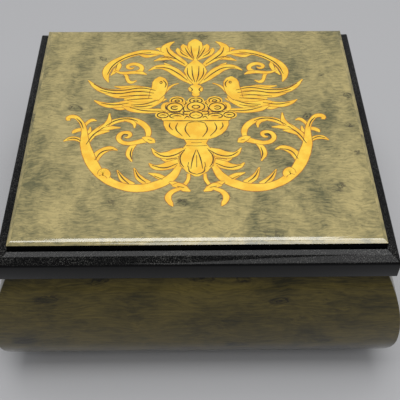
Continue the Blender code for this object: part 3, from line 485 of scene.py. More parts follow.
lower, low_angle = bulge_arc(WIDEST, BULGE - FOOT)
upper, high_angle = bulge_arc(WALL_TOP - WIDEST, BULGE - MOUTH)
outside = arc((BULGE - lower, WIDEST), lower, -low_angle, 0, 22)
outside += arc((BULGE - upper, WIDEST), upper, 0, high_angle, 26)[1:]
wall_section = [(INNER, 0), *outside, (INNER, WALL_TOP)]
case_shell = sweep_rectangle(HALF_X, HALF_Y, wall_section)
modify(case_shell, "BEVEL", width=WALL_EASE, segments=3, limit_method="ANGLE", angle_limit=math.radians(50))
wall_nodes = ("wall_front", "wall_back", "wall_left", "wall_right")
complete(case_shell, "case_shell", "case", wall_veneer_with_painted_shade, wall_nodes)
print("case shell", len(case_shell.data.polygons), "faces")

# %% [markdown]
# The lid's moulding slopes up from a rounded outer edge to the panel. It is swept like the walls, with
# more steps in the rounding, because the bright line along that edge shows every facet.

# %% The lid moulding
SLOPE = math.radians(30)
EDGE_RADIUS = 0.0015
RAIL_EASE = 0.00025
inner = 0.0003  # the gap round the panel
tangent = FRAME_OUT - EDGE_RADIUS + EDGE_RADIUS * math.sin(SLOPE)
edge_z = SLOPE_TOP - math.tan(SLOPE) * (tangent - inner) - EDGE_RADIUS * math.cos(SLOPE)
edge = arc((FRAME_OUT - EDGE_RADIUS, edge_z), EDGE_RADIUS, 0, math.pi / 2 - SLOPE, 12)
lip_top = panel_low.z - inner
rail_section = [(INNER, LID_BOTTOM), (FRAME_OUT, LID_BOTTOM), *edge, (inner, SLOPE_TOP)]
rail_section += [(inner, lip_top), (INNER, lip_top)]
moulding = sweep_rectangle(HALF_X, HALF_Y, rail_section)
modify(moulding, "BEVEL", width=RAIL_EASE, segments=3, limit_method="ANGLE", angle_limit=math.radians(40))
rail_nodes = ("lid_frame_front", "lid_frame_back", "lid_frame_left", "lid_frame_right")
complete(moulding, "lid_moulding", "lid", black_lacquer, rail_nodes)

# %% [markdown]
# The raised panel is a board whose top falls away to the sides on a wide, shallow arc. The top face of a
# box is drawn out upwards in small steps, each one closer to the middle and flatter than the one before.
# Veneer covers the top and the arc, and the upright side below, like the underside, is black lacquer.

# %% The lid panel
ARC_RADIUS = 4.7 * MM
ARC_ANGLE = math.radians(40)
ARC_RISERS = 14
VENEER_END = 0.5  # how far upwards a face has to look to be veneered

side_top = TOP - ARC_RADIUS * (1 - math.cos(ARC_ANGLE))
lid_panel = cube(panel_low, (panel_high.x, panel_high.y, side_top))
take(lid_panel)
bpy.ops.object.mode_set(mode="EDIT")
bpy.ops.mesh.select_mode(type="FACE")
bpy.ops.mesh.select_all(action="DESELECT")
leave()
for face in lid_panel.data.polygons:
    face.select = face.normal.z > VENEER_END
bpy.ops.object.mode_set(mode="EDIT")
half_x, half_y = panel_high.x, panel_high.y
for riser in range(ARC_RISERS):
    before = ARC_ANGLE * (1 - riser / ARC_RISERS)
    after = ARC_ANGLE * (1 - (riser + 1) / ARC_RISERS)
    inward = ARC_RADIUS * (math.sin(before) - math.sin(after))
    upward = ARC_RADIUS * (math.cos(after) - math.cos(before))
    shrink = ((half_x - inward) / half_x, (half_y - inward) / half_y, 1)
    bpy.ops.mesh.extrude_region_move(TRANSFORM_OT_translate={"value": (0, 0, upward)})
    bpy.ops.transform.resize(value=shrink, center_override=(0, 0, 0))
    half_x, half_y = half_x - inward, half_y - inward
leave()
complete(lid_panel, "inlaid_lid_panel", "lid", lid_veneer, ("lid_panel",), angle=25)
lid_panel.data.materials.append(black_lacquer)
for face in lid_panel.data.polygons:
    if face.normal.z < VENEER_END:
        face.material_index = 1

# %% [markdown]
# The inlay is cut from pale gold wood and let into the veneer: two birds beside a flower bowl, with leaf
# scrolls round them. Each leaf is one stroke with its own widths, so it is drawn as a curve whose radius
# swells and tapers, swept by a flat profile. The right half is the left half mirrored. Every stroke lies
# a fraction of a hair above the one before, so that neighbours overlap cleanly, and each has a scorched
# rim.

# %% The strokes, as x, y and width in millimetres
def oval(x, y, half_width, half_height):
    """A filled oval, as one level stroke that swells to its full height."""
    swell = [(-1.0, 0.1), (-0.9, 0.44), (-0.6, 0.8), (0.0, 1.0), (0.6, 0.8), (0.9, 0.44), (1.0, 0.1)]
    return [(x + part * half_width, y, 2 * height * half_height) for part, height in swell]


def ring(x, y, half_width, half_height, first=0, last=360):
    """A cut line round an oval, or round a part of it between two angles in degrees."""
    angles = [math.radians(first + (last - first) * i / 10) for i in range(11)]
    return [(x + half_width * math.cos(a), y + half_height * math.sin(a)) for a in angles]


MIRRORED = [
    # leaves beside the top palmette
    [(-0.8, 38, 0.8), (-2.6, 42, 2.6), (-4.2, 45.6, 3.6), (-5, 47.4, 2.6), (-5.2, 48.8, 0.3)],
    [(-1, 38, 0.6), (-3.8, 40.6, 2.2), (-6, 42.4, 2.8), (-7.4, 44.6, 2), (-7.6, 46.2, 0.3)],
    # upper forked leaf
    [(-11, 42.4, 3.4), (-13.8, 44.4, 3), (-15.6, 45.6, 1.6), (-17.2, 45.6, 0.3)],
    [(-7, 37.8, 2), (-11, 39.4, 2.6), (-14.4, 38.8, 2), (-17.6, 37.4, 0.3)],
    [
        (-2.5, 32.6, 1), (-5.5, 36.4, 3), (-9, 39.8, 4), (-11.8, 42.8, 4.6), (-12.8, 46, 3.8),
        (-11.4, 48.8, 2), (-9, 50.6, 0.3),
    ],
    # lower leaf
    [(-9, 31.4, 3), (-11.6, 34.2, 2), (-13.2, 36, 0.3)],
    [
        (-1.5, 22.4, 1), (-5, 26.2, 3.2), (-8.5, 30.2, 4.2), (-12, 32.8, 3.4), (-15.8, 33.4, 2.2),
        (-19.8, 31, 0.3),
    ],
    # upper scroll and its twigs
    [(-33, 37.4, 0.4), (-32.2, 34.6, 1.8), (-33.4, 31.4, 2.4), (-35.4, 28, 0.4)],
    [
        (-13.6, 42.2, 1.6), (-18, 43.4, 2.2), (-22, 43.4, 2.8), (-27, 41.8, 2.6), (-31.5, 39, 2.8),
        (-35.2, 35.4, 3.4), (-37.2, 31.2, 3.4), (-37.2, 27.2, 2.2), (-36, 23.6, 0.3),
    ],
    [(-24, 41.6, 0.5), (-21, 40.6, 1.8), (-17.5, 41.2, 1.2), (-15.5, 41.8, 0.4)],
    [(-30.4, 29.8, 0.9), (-28.8, 27.6, 1.3), (-28.2, 25.2, 1.3), (-26.8, 23.6, 1.6), (-24.4, 24.6, 0.3)],
    [
        (-34, 31, 0.6), (-31, 29.6, 1.3), (-27, 29.8, 1.6), (-23.6, 30.6, 1.9), (-22.6, 32.8, 1.8),
        (-24.4, 35, 1.8), (-27, 35.2, 1.6), (-28.6, 33.6, 1.4), (-27.2, 32.4, 1.1), (-25.8, 33.2, 0.3),
    ],
    [(-25.2, 29.8, 1.2), (-22.6, 29.6, 1.8), (-20.4, 28.4, 0.3)],
    # bird
    [(-26, 9.4, 2), (-30, 7.8, 2), (-33.4, 8.2, 0.3)],
    [(-25, 11.4, 3), (-31, 9.8, 3), (-35, 9.6, 2.6), (-38, 10.6, 1.8), (-41, 12.6, 0.3)],
    [(-13.2, 16.6, 1.4), (-11.2, 19.6, 1), (-9.4, 21.6, 0.7), (-7, 22.8, 0.2)],
    [(-17, 11.2, 1.8), (-13.6, 12.4, 1.6), (-11.8, 13.2, 0.3)],
    [(-33.4, 21, 0.3), (-29.5, 20.4, 1.6), (-25, 20.6, 1.8), (-19.6, 19.6, 1.2)],
    [
        (-15.5, 17.4, 1.5), (-20, 19, 3), (-26, 19, 3.2), (-32, 17.6, 3.2), (-37, 18.2, 2.8),
        (-41, 20.8, 2), (-44.4, 25, 0.3),
    ],
    [(-16, 15.4, 1.5), (-21, 16.4, 3.4), (-27, 15.6, 3.4), (-32, 15.2, 2.4), (-36.8, 16.4, 0.4)],
    [
        (-12.9, 15, 1), (-15.2, 13.2, 4.6), (-19, 11.4, 7), (-23, 10.4, 7), (-27, 10.6, 4.6),
        (-30.6, 11.2, 1),
    ],
    [(-14.8, 14.4, 2), (-19, 13.8, 4.4), (-24, 13.4, 3.8), (-29, 13.2, 0.6)],
    [
        (-17.2, 13, 4), (-15.6, 17, 6.2), (-14.8, 20.6, 6.3), (-14.7, 23.4, 6.2), (-14.8, 25.6, 4.4),
        (-15, 27, 0.8),
    ],
    # twig under the bird
    [(-29.6, 9, 0.3), (-26, 7.2, 2.4), (-20, 6.2, 2.6), (-15, 6.2, 2.2), (-10, 6.2, 1.6)],
    # a rose and leaves over the bowl
    oval(-13.2, 3.7, 3, 2.3), oval(-11.6, 8.2, 2.4, 3), oval(-4.3, 8, 2.6, 4.2),
    oval(-7.6, 12.2, 3.1, 2.5),
    oval(-8.3, 8.2, 4.1, 3.5), oval(-8.4, 3.6, 4.4, 2.3), oval(-3.8, 3.4, 3.6, 2.5),
    # leaves beside the shell
    [(-6, -19.4, 3), (-9.4, -20.6, 3.6), (-12, -20.4, 1.8), (-13.6, -19.4, 0.3)],
    [(-5.6, -21.6, 3.4), (-10, -23.4, 3.8), (-13.6, -24.6, 2.8), (-16, -24.2, 1.8), (-17.8, -22.4, 0.3)],
    [(-4, -14.8, 1.4), (-8, -17.2, 4.2), (-11.6, -18.4, 3.4), (-14.8, -17.8, 2), (-17, -14.6, 0.3)],
    # flames on the great scroll
    [(-11, -31.2, 2.6), (-14.4, -28.8, 2.2), (-17.8, -27.4, 0.3)],
    [(-17.6, -32.6, 2.6), (-21, -29.8, 2.4), (-23.2, -24.8, 0.3)],
    [(-23.4, -33.4, 2.6), (-27, -30.2, 2.2), (-29.4, -25.8, 0.3)],
    # great scroll with the leaves that leave it
    [(-38.6, -22.8, 2.6), (-37.4, -18.4, 3.2), (-35, -15.6, 2.8), (-32.4, -14.6, 2), (-29.8, -15.6, 0.3)],
    [
        (-42.6, -13.8, 1.6), (-40.4, -8, 2.6), (-36.4, -3.2, 2.8), (-32.6, -0.2, 2.4), (-28.4, 1.2, 2),
        (-24.2, 0.8, 2.2), (-20.6, -1.6, 2.4), (-18.6, -5.4, 2.2), (-18.8, -9.6, 1.4),
    ],
    [(-37, -4.2, 2), (-34.4, -0.2, 2), (-34.2, 4.8, 0.3)],
    [(-36.6, -4.4, 1.6), (-33, -3.4, 1.8), (-29.4, -3.4, 0.3)],
    [(-39.6, -7.6, 1), (-36, -5.6, 1.8), (-33.6, -5.2, 0.3)],
    [(-28, 1.2, 1.2), (-24.4, -0.8, 1.6), (-24, -3.6, 0.4)],
    [(-42.8, -12.4, 0.8), (-45.4, -9.6, 1.8), (-48.4, -9.2, 1.8), (-50.8, -10.6, 0.3)],
    [(-43.4, -4.2, 1), (-45.4, -4.4, 1.8), (-47.2, -5.4, 1.6), (-47.8, -6.4, 0.4)],
    [(-43.8, -3.6, 0.8), (-42.6, -0.6, 1.2), (-40.8, 1, 1.5), (-39, 0.6, 0.3)],
    [(-43, -7, 0.8), (-41.4, -5.2, 1.4), (-41.2, -2.8, 0.3)],
    [
        (-6.4, -24, 2), (-9.4, -29.6, 3.4), (-14.6, -33.2, 3.6), (-21.6, -34.8, 3.4),
    (-28.6, -33.2, 3),
        (-34.4, -29, 3.4), (-38.4, -23.2, 4.2), (-41, -17, 4.2), (-42.6, -11.4, 3.4),
    (-43.2, -6.4, 2.2),
        (-43.8, -3, 1.8), (-45.6, 0.8, 1.6), (-48, 3, 1.8), (-50.2, 2.4, 1.9), (-50, 0.8, 1.2),
    ],
    [(-36.2, -28.2, 0.8), (-34.4, -26.6, 3.4), (-32.8, -28, 2.4), (-32.4, -29.8, 0.5)],
    # hanging spiral
    [(-23, -11.8, 1.2), (-24.8, -14.6, 2.2), (-25.4, -18, 2.2), (-24.2, -21.6, 0.3)],
    [
        (-17.6, -10.4, 0.8), (-19.6, -10.4, 2.4), (-22.8, -11.4, 2), (-26.4, -12, 1.7),
    (-29.2, -10.6, 1.7),
        (-29.8, -8, 1.7), (-28, -6.2, 1.6), (-25.6, -6.8, 1.5), (-26.2, -8.6, 1.1), (-27.6, -8.8, 0.3),
    ],
    [(-15.8, -11.6, 0.5), (-17, -10.8, 2.8), (-19.2, -9.4, 2.6), (-20.8, -8.8, 0.5)],
    # ribbon ends
    [(-3, -27.8, 1), (-3.2, -30.6, 1.2), (-4.4, -33.2, 1.2)],
    [(-3.4, -34.8, 1.2), (-5.6, -34, 2.6), (-8.4, -32.6, 2), (-10.2, -31.8, 0.3)],
    [(-2.4, -36.4, 0.4), (-4.4, -35.2, 2.6), (-7, -33.6, 2.6), (-9, -33.8, 0.4)],
    [(-6, -35, 1.2), (-9.2, -36.8, 1.8), (-10.4, -39.4, 2.2), (-9.4, -42, 1.6), (-8.6, -43.4, 0.3)],
]
CENTRED = [  # these lie on the middle line
    [(0, 37.4, 1), (0, 42, 3.4), (0, 46.6, 6.6), (0, 49.8, 5.8), (0, 51.6, 2.6), (0, 52.4, 0.3)],
    [(0, 21.6, 1.4), (0, 25.6, 6.2), (0, 30.6, 9.6), (0, 34, 7.6), (0, 37.8, 1.4)],
    [(0, 14.6, 1), (0, 15.4, 3), (0, 16.4, 3), (0, 17.2, 1.6)],
    [(0, 16.6, 1.6), (0, 18, 5.4), (0, 19.6, 6), (0, 21.2, 4), (0, 22, 1)],
    oval(0, 12, 3.3, 2.4), oval(0, 8.6, 4.2, 3.6), oval(0, 4, 3.8, 2.9),
    [(0, -14.4, 7), (0, -17.4, 12.4), (0, -20.6, 13.6), (0, -23.6, 11.8), (0, -26.6, 8), (0, -29.2, 1.5)],
    [(0, 1, 25.4), (0, -2, 25.2), (0, -4.8, 23.2), (0, -7, 19.8), (0, -8.8, 15), (0, -10.2, 8.4)],
    [(0, 2.4, 27), (0, 1.8, 27.4), (0, 0.6, 26.4)],
    [(0, -9.6, 9.6), (0, -10.8, 8.4), (0, -12.2, 7.4), (0, -13.6, 8.8), (0, -14.8, 10.4)],
]
CUT_LINES = [
    # palmette and cup
    [(-0.5, 38.6), (-1.5, 43), (-1.8, 47.6)], [(-1.4, 39.4), (-3.4, 43.4), (-4.4, 46.2)],
    [(-3.2, 40.2), (-5.6, 42.2), (-6.6, 44.4)], [(-0.3, 23.4), (-1.2, 28), (-1.5, 33.8)],
    [(-1.2, 24), (-3.2, 28.4), (-3.4, 32.6)], [(-2.4, 20.4), (-1.4, 18.8), (-2, 17.4)],
    # forked leaf and lower leaf
    [(-4.4, 35), (-8.6, 39.2), (-11.6, 43), (-12.4, 46.4)],
    [(-8.2, 38.6), (-12.2, 40), (-14.8, 39.2)],
    [(-3.4, 24.6), (-7.6, 29.4), (-12, 32.6), (-16.8, 32.9)],
    # upper scroll
    [(-19, 43.2), (-26, 41.6), (-31.6, 38.2), (-35, 34), (-36.8, 28.6)],
    [(-33, 35.6), (-33.6, 31.8)],
    # bird
    [(-16.4, 18.4), (-22, 19.9), (-30, 18.6), (-37, 19.2), (-42, 22.6)],
    [(-17, 16.8), (-24, 17.8), (-32, 16.6), (-39, 18.6)],
    [(-18, 15.2), (-24, 15.4), (-31, 14.6)], [(-17.6, 13.6), (-23, 13.2), (-28, 12.6)],
    [(-15.2, 12.6), (-20, 10.4), (-26, 9.6)], [(-17.4, 9.6), (-22, 8.6), (-25, 9)],
    [(-27, 10.8), (-33, 9.8), (-38, 10.9)], [(-12.6, 20.2), (-12.2, 22.4), (-13.4, 24.8)],
    [(-14.9, 23.5), (-14.2, 23.9), (-13.7, 23.3)], [(-14.9, 23.1), (-14.2, 22.8), (-13.7, 23.3)],
    [(-26.4, 8.2), (-21, 6.4), (-12, 5.9)],
    # roses and leaves
    ring(-8.4, 8.1, 3.2, 2.6), ring(-8.5, 7.9, 1.4, 1, 30, 330), [(-9.2, 8), (-8, 8)],
    ring(-7.6, 12, 2.3, 1.7, -30, 210), ring(-7.5, 11.9, 0.9, 0.6),
    [(-10.6, 6), (-12, 7.6), (-12, 9.8)],
    ring(0, 8.5, 3.5, 2.7, 90, 270), ring(0, 8.4, 1.5, 0.9, 90, 270), ring(0, 12, 2.5, 1.6, 90, 215),
    ring(0, 11.9, 0.9, 0.5, 90, 270), [(-4.4, 5.4), (-5, 7.2), (-4.5, 9)],
    [(-4.8, 9.4), (-4, 10.6), (-4.2, 11.8)],
    ring(-13.1, 3.6, 2.2, 1.5), [(-14.4, 3.5), (-13, 3.8), (-11.8, 3.5)],
    ring(-7.6, 3.1, 2.8, 1.4, 0, 250),
    [(-9.4, 2.9), (-7.6, 3.3), (-5.8, 2.9)], ring(-3.6, 4.9, 1.5, 0.9, 20, 300),
    ring(0, 3.5, 2.5, 1.8, 90, 270),
    [(-1.4, 3.2), (0, 3.7)], [(-11.2, 5.4), (-8.8, 5.1), (-6.2, 5.5)],
    [(-4.6, 1.5), (-3.4, 2.8), (-2.6, 1.8)],
    # bowl
    [(-13.2, 0.4), (-6, 0.3), (0, 0.3)], [(-10.2, -0.8), (-10.4, -2.8), (-9.2, -4.8)],
    [(-7.2, -0.8), (-7.9, -4), (-5.4, -8.2)], [(-3.4, -1), (-4.3, -4.6), (-2.4, -8.8)],
    [(-3.4, -1), (-2, -0.4), (0, -0.3)], [(-4.2, -10), (0, -10.2)], [(-4, -13.4), (0, -13.6)],
    # shell
    [(-0.2, -15.6), (-1.4, -20), (-2.2, -25.4)],
    [(-4.4, -15.6), (-6, -18.6), (-6, -22), (-4.8, -24.6)],
    [(-3, -22), (-3.4, -24.6)], [(-3, -24.2), (-2.6, -26.8), (0, -28.2)], [(0, -18.4), (0, -24.6)],
    [(-2, -11.8), (0, -11.9)],
    # leaves beside the shell
    [(-4.6, -15.6), (-8.6, -18.4), (-12.6, -18.8), (-15.8, -16.6)],
    [(-7, -22.6), (-12, -24.8), (-16.6, -23.6)],
    [(-7.4, -20), (-11.4, -20.6)],
    # great scroll and its leaves
    [(-12.6, -30.6), (-15.6, -28.8)], [(-18.6, -32), (-21.2, -29.4), (-22.8, -25.8)],
    [(-24.6, -32.8), (-27.2, -29.8), (-29, -26.6)], [(-38, -20.6), (-35.6, -16.4), (-31.4, -15.1)],
    [(-42, -12.4), (-39.6, -7.2), (-35.8, -3)],
    [(-35.2, -2.2), (-31, 0.9), (-26, 1.5), (-22.8, 0.2)],
    [(-43.9, -3.6), (-45.2, -0.2), (-47, 2)], [(-44.2, -10.4), (-46.8, -9), (-49.6, -9.6)],
    [(-24.4, -14.4), (-24.9, -17.8), (-24.3, -20.4)], [(-18.6, -10), (-17, -10.6)],
    [(-28.6, -9.4), (-28, -7.2), (-26.4, -7.2)], [(-4.6, -34.6), (-7.2, -34)],
]

# %% [markdown]
# A flat two-point profile swept along a curve makes a ribbon as wide as the radius says. The ribbons
# become a mesh and are extruded down into the panel, so each is a closed thin slip of wood.

# %% Laying the inlay
def ribbon(name, strokes, extra, rise, step):
    """Sweeps the strokes into thin slips, each widened by extra and a step above the one before."""
    profile_line = bpy.data.curves.new("flat_profile", "CURVE")
    points = profile_line.splines.new("POLY").points
    points.add(1)
    points[0].co, points[1].co = (-0.5, 0, 0, 1), (0.5, 0, 0, 1)
    profile = bpy.data.objects.new("flat_profile", profile_line)
    bpy.context.scene.collection.objects.link(profile)
    line = bpy.data.curves.new(name, "CURVE")
    line.dimensions = "3D"
    line.twist_mode = "Z_UP"
    line.bevel_mode = "OBJECT"
    line.bevel_object = profile
    line.resolution_u = 7
    for layer, stroke in enumerate(strokes):
        spline = line.splines.new("BEZIER")
        spline.bezier_points.add(len(stroke) - 1)
        height = TOP + (rise + step * layer) * MM
        for point, (x, y, width) in zip(spline.bezier_points, stroke):
            point.co = (x * MM, y * MM, height)
            point.radius = max(width + extra, 0.1) * MM
            point.handle_left_type = point.handle_right_type = "AUTO"
    made = bpy.data.objects.new(name, line)
    bpy.context.scene.collection.objects.link(made)
    take(made)
    bpy.ops.object.convert(target="MESH")
    edit(made)
    bpy.ops.mesh.extrude_region_move(TRANSFORM_OT_translate={"value": (0, 0, -INLAY_DEPTH)})
    leave()
    bpy.data.objects.remove(profile)
    return outward(made)


LAYER = 0.0005  # mm between one stroke and the next
INLAY_DEPTH = 0.0002
INLAY_RISE, CUT_RISE = 0.0100, 0.0750  # mm above the panel
RIM = 0.50  # mm that the scorched rim adds to a stroke's width
CUT = 0.52  # mm, the width of a cut line
CUT_END = 0.45  # and how much of it is left at the ends


def mirrored(strokes):
    """The strokes and their mirror images in the middle line."""
    return strokes + [[(-x, *rest) for x, *rest in stroke] for stroke in strokes]


def dyed_wood(name, roughness, scale, detail, first, second):
    """Lacquered wood in two soft tones."""
    made, tree, shader = finish(name, roughness, Coat_Weight=1.0, Coat_Roughness=0.08)
    tone = ramp(tree, noise(tree, here(tree), scale, detail), 0.35, 0.65)
    paint(tree, shader, blend_colours(tree, tone, first, second))
    return made


inlay_gold = dyed_wood("inlay_gold", 0.38, 240.0, 3.0, (0.91, 0.50, 0.028, 1), (0.96, 0.64, 0.054, 1))
inlay_rim = dyed_wood("inlay_rim", 0.38, 500.0, 2.0, (0.30, 0.095, 0.010, 1), (0.52, 0.19, 0.018, 1))
cut_dark = dyed_wood("cut_line", 0.4, 700.0, 2.0, (0.045, 0.017, 0.002, 1), (0.105, 0.045, 0.005, 1))

strokes = mirrored(MIRRORED) + CENTRED
rims = ribbon("inlay_rims", strokes, RIM, INLAY_RISE, LAYER)
complete(rims, "inlay_rims", "lid", inlay_rim)
golds = ribbon("inlay_leaves", strokes, 0.0, INLAY_RISE + LAYER / 2, LAYER)
complete(golds, "inlay_leaves", "lid", inlay_gold)
tapered = [
    [(x, y, CUT * (CUT_END if i in (0, len(cut) - 1) else 1.0)) for i, (x, y) in enumerate(cut)]
    for cut in mirrored(CUT_LINES)
]
cuts = ribbon("inlay_cuts", tapered, 0.0, CUT_RISE, LAYER / 5)
complete(cuts, "inlay_cuts", "lid", cut_dark)
print("inlay strokes", len(strokes), "cut lines", len(tapered))

# %% [markdown]
# Velvet is a short upright pile. It is dark where it is seen straight on and glows at grazing angles,
# which is what sheen does. The pile itself is a very fine noise in the relief, and slow patches show where
# it has been brushed one way or the other.

# %% Velvet
def build_velvet():
    made, tree, shader = finish("burgundy_velvet", 0.92, Sheen_Weight=0.85, Sheen_Roughness=0.35)
    shader.inputs["Sheen Tint"].default_value = (0.95, 0.42, 0.45, 1)
    shader.inputs["Specular IOR Level"].default_value = 0.15
    place = here(tree)
    pile = noise(tree, place, 3600.0, 2.0, 0.7)
    brushed = ramp(tree, noise(tree, place, 55.0, 3.0, 0.6), 0.35, 0.65)
    tone = maths(tree, "ADD", times(tree, brushed, 0.6), ramp(tree, pile, 0.35, 0.65, 0.0, 0.4))
    colour = blend_colours(tree, tone, (0.060, 0.006, 0.010, 1), (0.150, 0.017, 0.026, 1))
    paint(tree, shader, colour)
    relief(tree, shader, pile, 0.00012, 0.8)
    return made


velvet = build_velvet()

# %% [markdown]
# The compartments are thin boards wrapped in velvet. The cloth rounds every edge of the board, so each
# one starts as a box, is given rounded edges, and keeps the size of the board it stands for.

# %% Velvet-covered boards
def covered_board(node, rounding):
    low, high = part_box(node)
    made = cube(low, high)
    edit(made)
    bpy.ops.mesh.bevel(offset=rounding, segments=4, profile=0.5)
    leave()
    return complete(made, node + "_cloth", "case", velvet, (node,), angle=60)


BOARDS = {
    0.0005: ("lining_front", "lining_back", "lining_left", "lining_right"),
    0.0012: ("cross_divider", "long_divider", "cover_ledge"),
    0.0016: ("ring_base",),
}
for rounding, boards in BOARDS.items():
    for board in boards:
        covered_board(board, rounding)
    print("rounded by", rounding, boards)

# %% [markdown]
# A thin pad is foam under velvet, glued down at the back. Its open face is crowned and falls away to
# the edges, where the cloth is pulled round, and the sides draw in a little between the corners. It is too
# thin for a cloth simulation to help, so a finely divided box is shaped by moving its points.

# %% Thin pads
PAD_CUTS = 47


def thin_pad(node, body, upward, draw):
    """A crowned pad in a node's place, glued at its lower or its upper face."""
    low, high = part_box(node)
    middle, half = (low + high) / 2, (high - low) / 2
    made = cube(low, high)
    edit(made)
    bpy.ops.mesh.subdivide(number_cuts=PAD_CUTS)
    leave()
    back = low.z if upward else high.z
    for vertex in made.data.vertices:
        u = (vertex.co.x - middle.x) / half.x
        v = (vertex.co.y - middle.y) / half.y
        rim = (1 - abs(u) ** 14) * (1 - abs(v) ** 14)
        pucker = 0.05 * math.sin(30 * u + 3 * v) * v**6 + 0.05 * math.sin(28 * v - 2 * u) * u**6
        crown = 0.42 + 0.50 * rim**0.5 + pucker * rim + 0.06 * (1 - u * u) * (1 - v * v)
        vertex.co.z = back + (vertex.co.z - back) * min(crown, 1.0)
        vertex.co.x -= draw * u * abs(u) ** 3 * (1 - v * v)
        vertex.co.y -= draw * v * abs(v) ** 3 * (1 - u * u)
    complete(made, node + "_pad", body, velvet, (node,), angle=80)
    return made


pads = [thin_pad("floor_pad", "case", True, 0.0008), thin_pad("lid_lining", "lid", False, 0.0010)]
print("pads", [pad.name for pad in pads])

# %% [markdown]
# Ring rolls are soft bolsters of velvet round a foam core, and a ring is pushed between two of them.
# Each starts as a slim round bar with rounded ends, becomes an even skin of small faces, and is blown up
# by a cloth simulation. It runs ten times too big, because cloth settings suit things of cushion size, and
# no point may move further than the gap to the next roll allows.

# %% The ring rolls
SKIN = 0.0018  # size of a face of the skin
SLIM = 0.0004  # how much thinner than its place a roll starts
ROLL_END = 0.0022  # rounding of its ends
BLOW_UP = 10.0
PRESSURE = 4.0
SWELL_FRAMES = 20


def swell(piece, limit):
    """Blows the piece up as cloth, with no point moved further than the limit."""
    modify(piece, "REMESH", mode="VOXEL", voxel_size=SKIN)
    centre = sum((v.co for v in piece.data.vertices), Vector()) / len(piece.data.vertices)
    start = [v.co.copy() for v in piece.data.vertices]
    for vertex in piece.data.vertices:
        vertex.co = (vertex.co - centre) * BLOW_UP
    take(piece)
    cloth = piece.modifiers.new("Cloth", "CLOTH")
    cloth.settings.use_pressure = True
    cloth.settings.uniform_pressure_force = PRESSURE
    cloth.settings.effector_weights.gravity = 0.0
    cloth.settings.quality = 5
    scene = bpy.context.scene
    for step in range(1, SWELL_FRAMES + 1):
        scene.frame_set(step)
    shaped = piece.evaluated_get(bpy.context.evaluated_depsgraph_get()).to_mesh()
    blown = [v.co / BLOW_UP + centre for v in shaped.vertices]
    piece.modifiers.remove(cloth)
    scene.frame_set(1)
    for vertex, before, after in zip(piece.data.vertices, start, blown):
        move = after - before
        if move.length > limit:
            move *= limit / move.length
        vertex.co = before + move
    piece.data.update()
    return piece


def ring_roll(node):
    """A velvet bolster in a node's place."""
    low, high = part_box(node)
    middle, half = (low + high) / 2, (high - low) / 2
    size = {"radius": half.z - SLIM, "depth": 2 * (half.x - SLIM)}
    bpy.ops.mesh.primitive_cylinder_add(vertices=40, location=middle, rotation=(0, math.pi / 2, 0), **size)
    roll = settle(bpy.context.object)
    modify(roll, "BEVEL", width=ROLL_END, segments=5, limit_method="ANGLE", angle_limit=math.radians(50))
    swell(roll, SLIM)
    modify(roll, "SUBSURF", levels=1, render_levels=1)
    complete(roll, node + "_velvet", "case", velvet, (node,), angle=80)
    return roll


for node in ("ring_roll_1", "ring_roll_2", "ring_roll_3"):
    rolled = ring_roll(node)
    print(node, len(rolled.data.polygons), "faces")

# %% [markdown]
# Metal parts keep the shape they have in the frame. Their finishes come from noise: fine streaks from
# brushing, and soft patches with a few darker spots where the metal has begun to tarnish.

# %% Metals
STREAKS = 2400.0  # noise scale
tarnish, tarnish_in, tarnish_out = group(
    "tarnish",
    {"Vector": "vector", "Clean": "colour", "Aged": "colour"},
    {"Color": "colour", "Mask": "value"},
)


def build_tarnish():
    tree = tarnish
    place = tarnish_in.outputs["Vector"]
    patches = ramp(tree, noise(tree, place, 170.0, 3.0, 0.5), 0.48, 0.74)
    spots = ramp(tree, noise(tree, place, 900.0, 2.0, 0.6), 0.68, 0.76)
    spotted = times(tree, spots, 0.22)
    mask = maths(tree, "MAXIMUM", times(tree, patches, 0.30), spotted)
    colour = blend_colours(tree, mask, tarnish_in.outputs["Clean"], tarnish_in.outputs["Aged"])
    tree.links.new(colour, tarnish_out.inputs["Color"])
    tree.links.new(mask, tarnish_out.inputs["Mask"])


build_tarnish()


def metal(name, clean, aged, smooth, rough):
    """A metal with streaks along Y, whose roughness runs between two values."""
    made, tree, shader = finish(name, smooth, 1.0)
    place = here(tree)
    aging = use(tree, tarnish, {"Vector": place, "Clean": clean, "Aged": aged})
    paint(tree, shader, aging.outputs["Color"])
    lines = noise(tree, stretched(tree, place, (1, 0.06, 1)), STREAKS, 2.0, 0.5)
    worn = times(tree, aging.outputs["Mask"], 0.10)
    rub = maths(tree, "ADD", ramp(tree, lines, 0.25, 0.75, smooth, rough), worn)
    paint(tree, shader, rub, "Roughness")
    relief(tree, shader, lines, 0.0000005, 0.20)
    return made


brass = metal("aged_brass", (0.80, 0.57, 0.24, 1), (0.60, 0.39, 0.15, 1), 0.24, 0.30)
steel = metal("brushed_steel", (0.46, 0.46, 0.47, 1), (0.30, 0.29, 0.28, 1), 0.30, 0.42)

# %% [markdown]
# The movement sits under a sheet of clear acrylic. It is a plain transmitting surface whose shine is
# broken only by faint wiping marks, so the works stay easy to see.

# %% Clear acrylic
acrylic, acrylic_tree, acrylic_shader = finish("clear_acrylic", 0.03, Transmission_Weight=1.0, IOR=1.49)
acrylic_shader.inputs["Base Color"].default_value = (0.97, 0.98, 0.98, 1)
wipes = noise(acrylic_tree, stretched(acrylic_tree, here(acrylic_tree), (0.3, 1, 1)), 300.0, 3.0, 0.6)
paint(acrylic_tree, acrylic_shader, ramp(acrylic_tree, wipes, 0.5, 0.75, 0.02, 0.10), "Roughness")

# %% [markdown]
# The base board is plywood. On its edge the layers run dark and light, and on its face the grain runs
# along the box, so the colour mixes a layer pattern over the height with drawn-out noise.

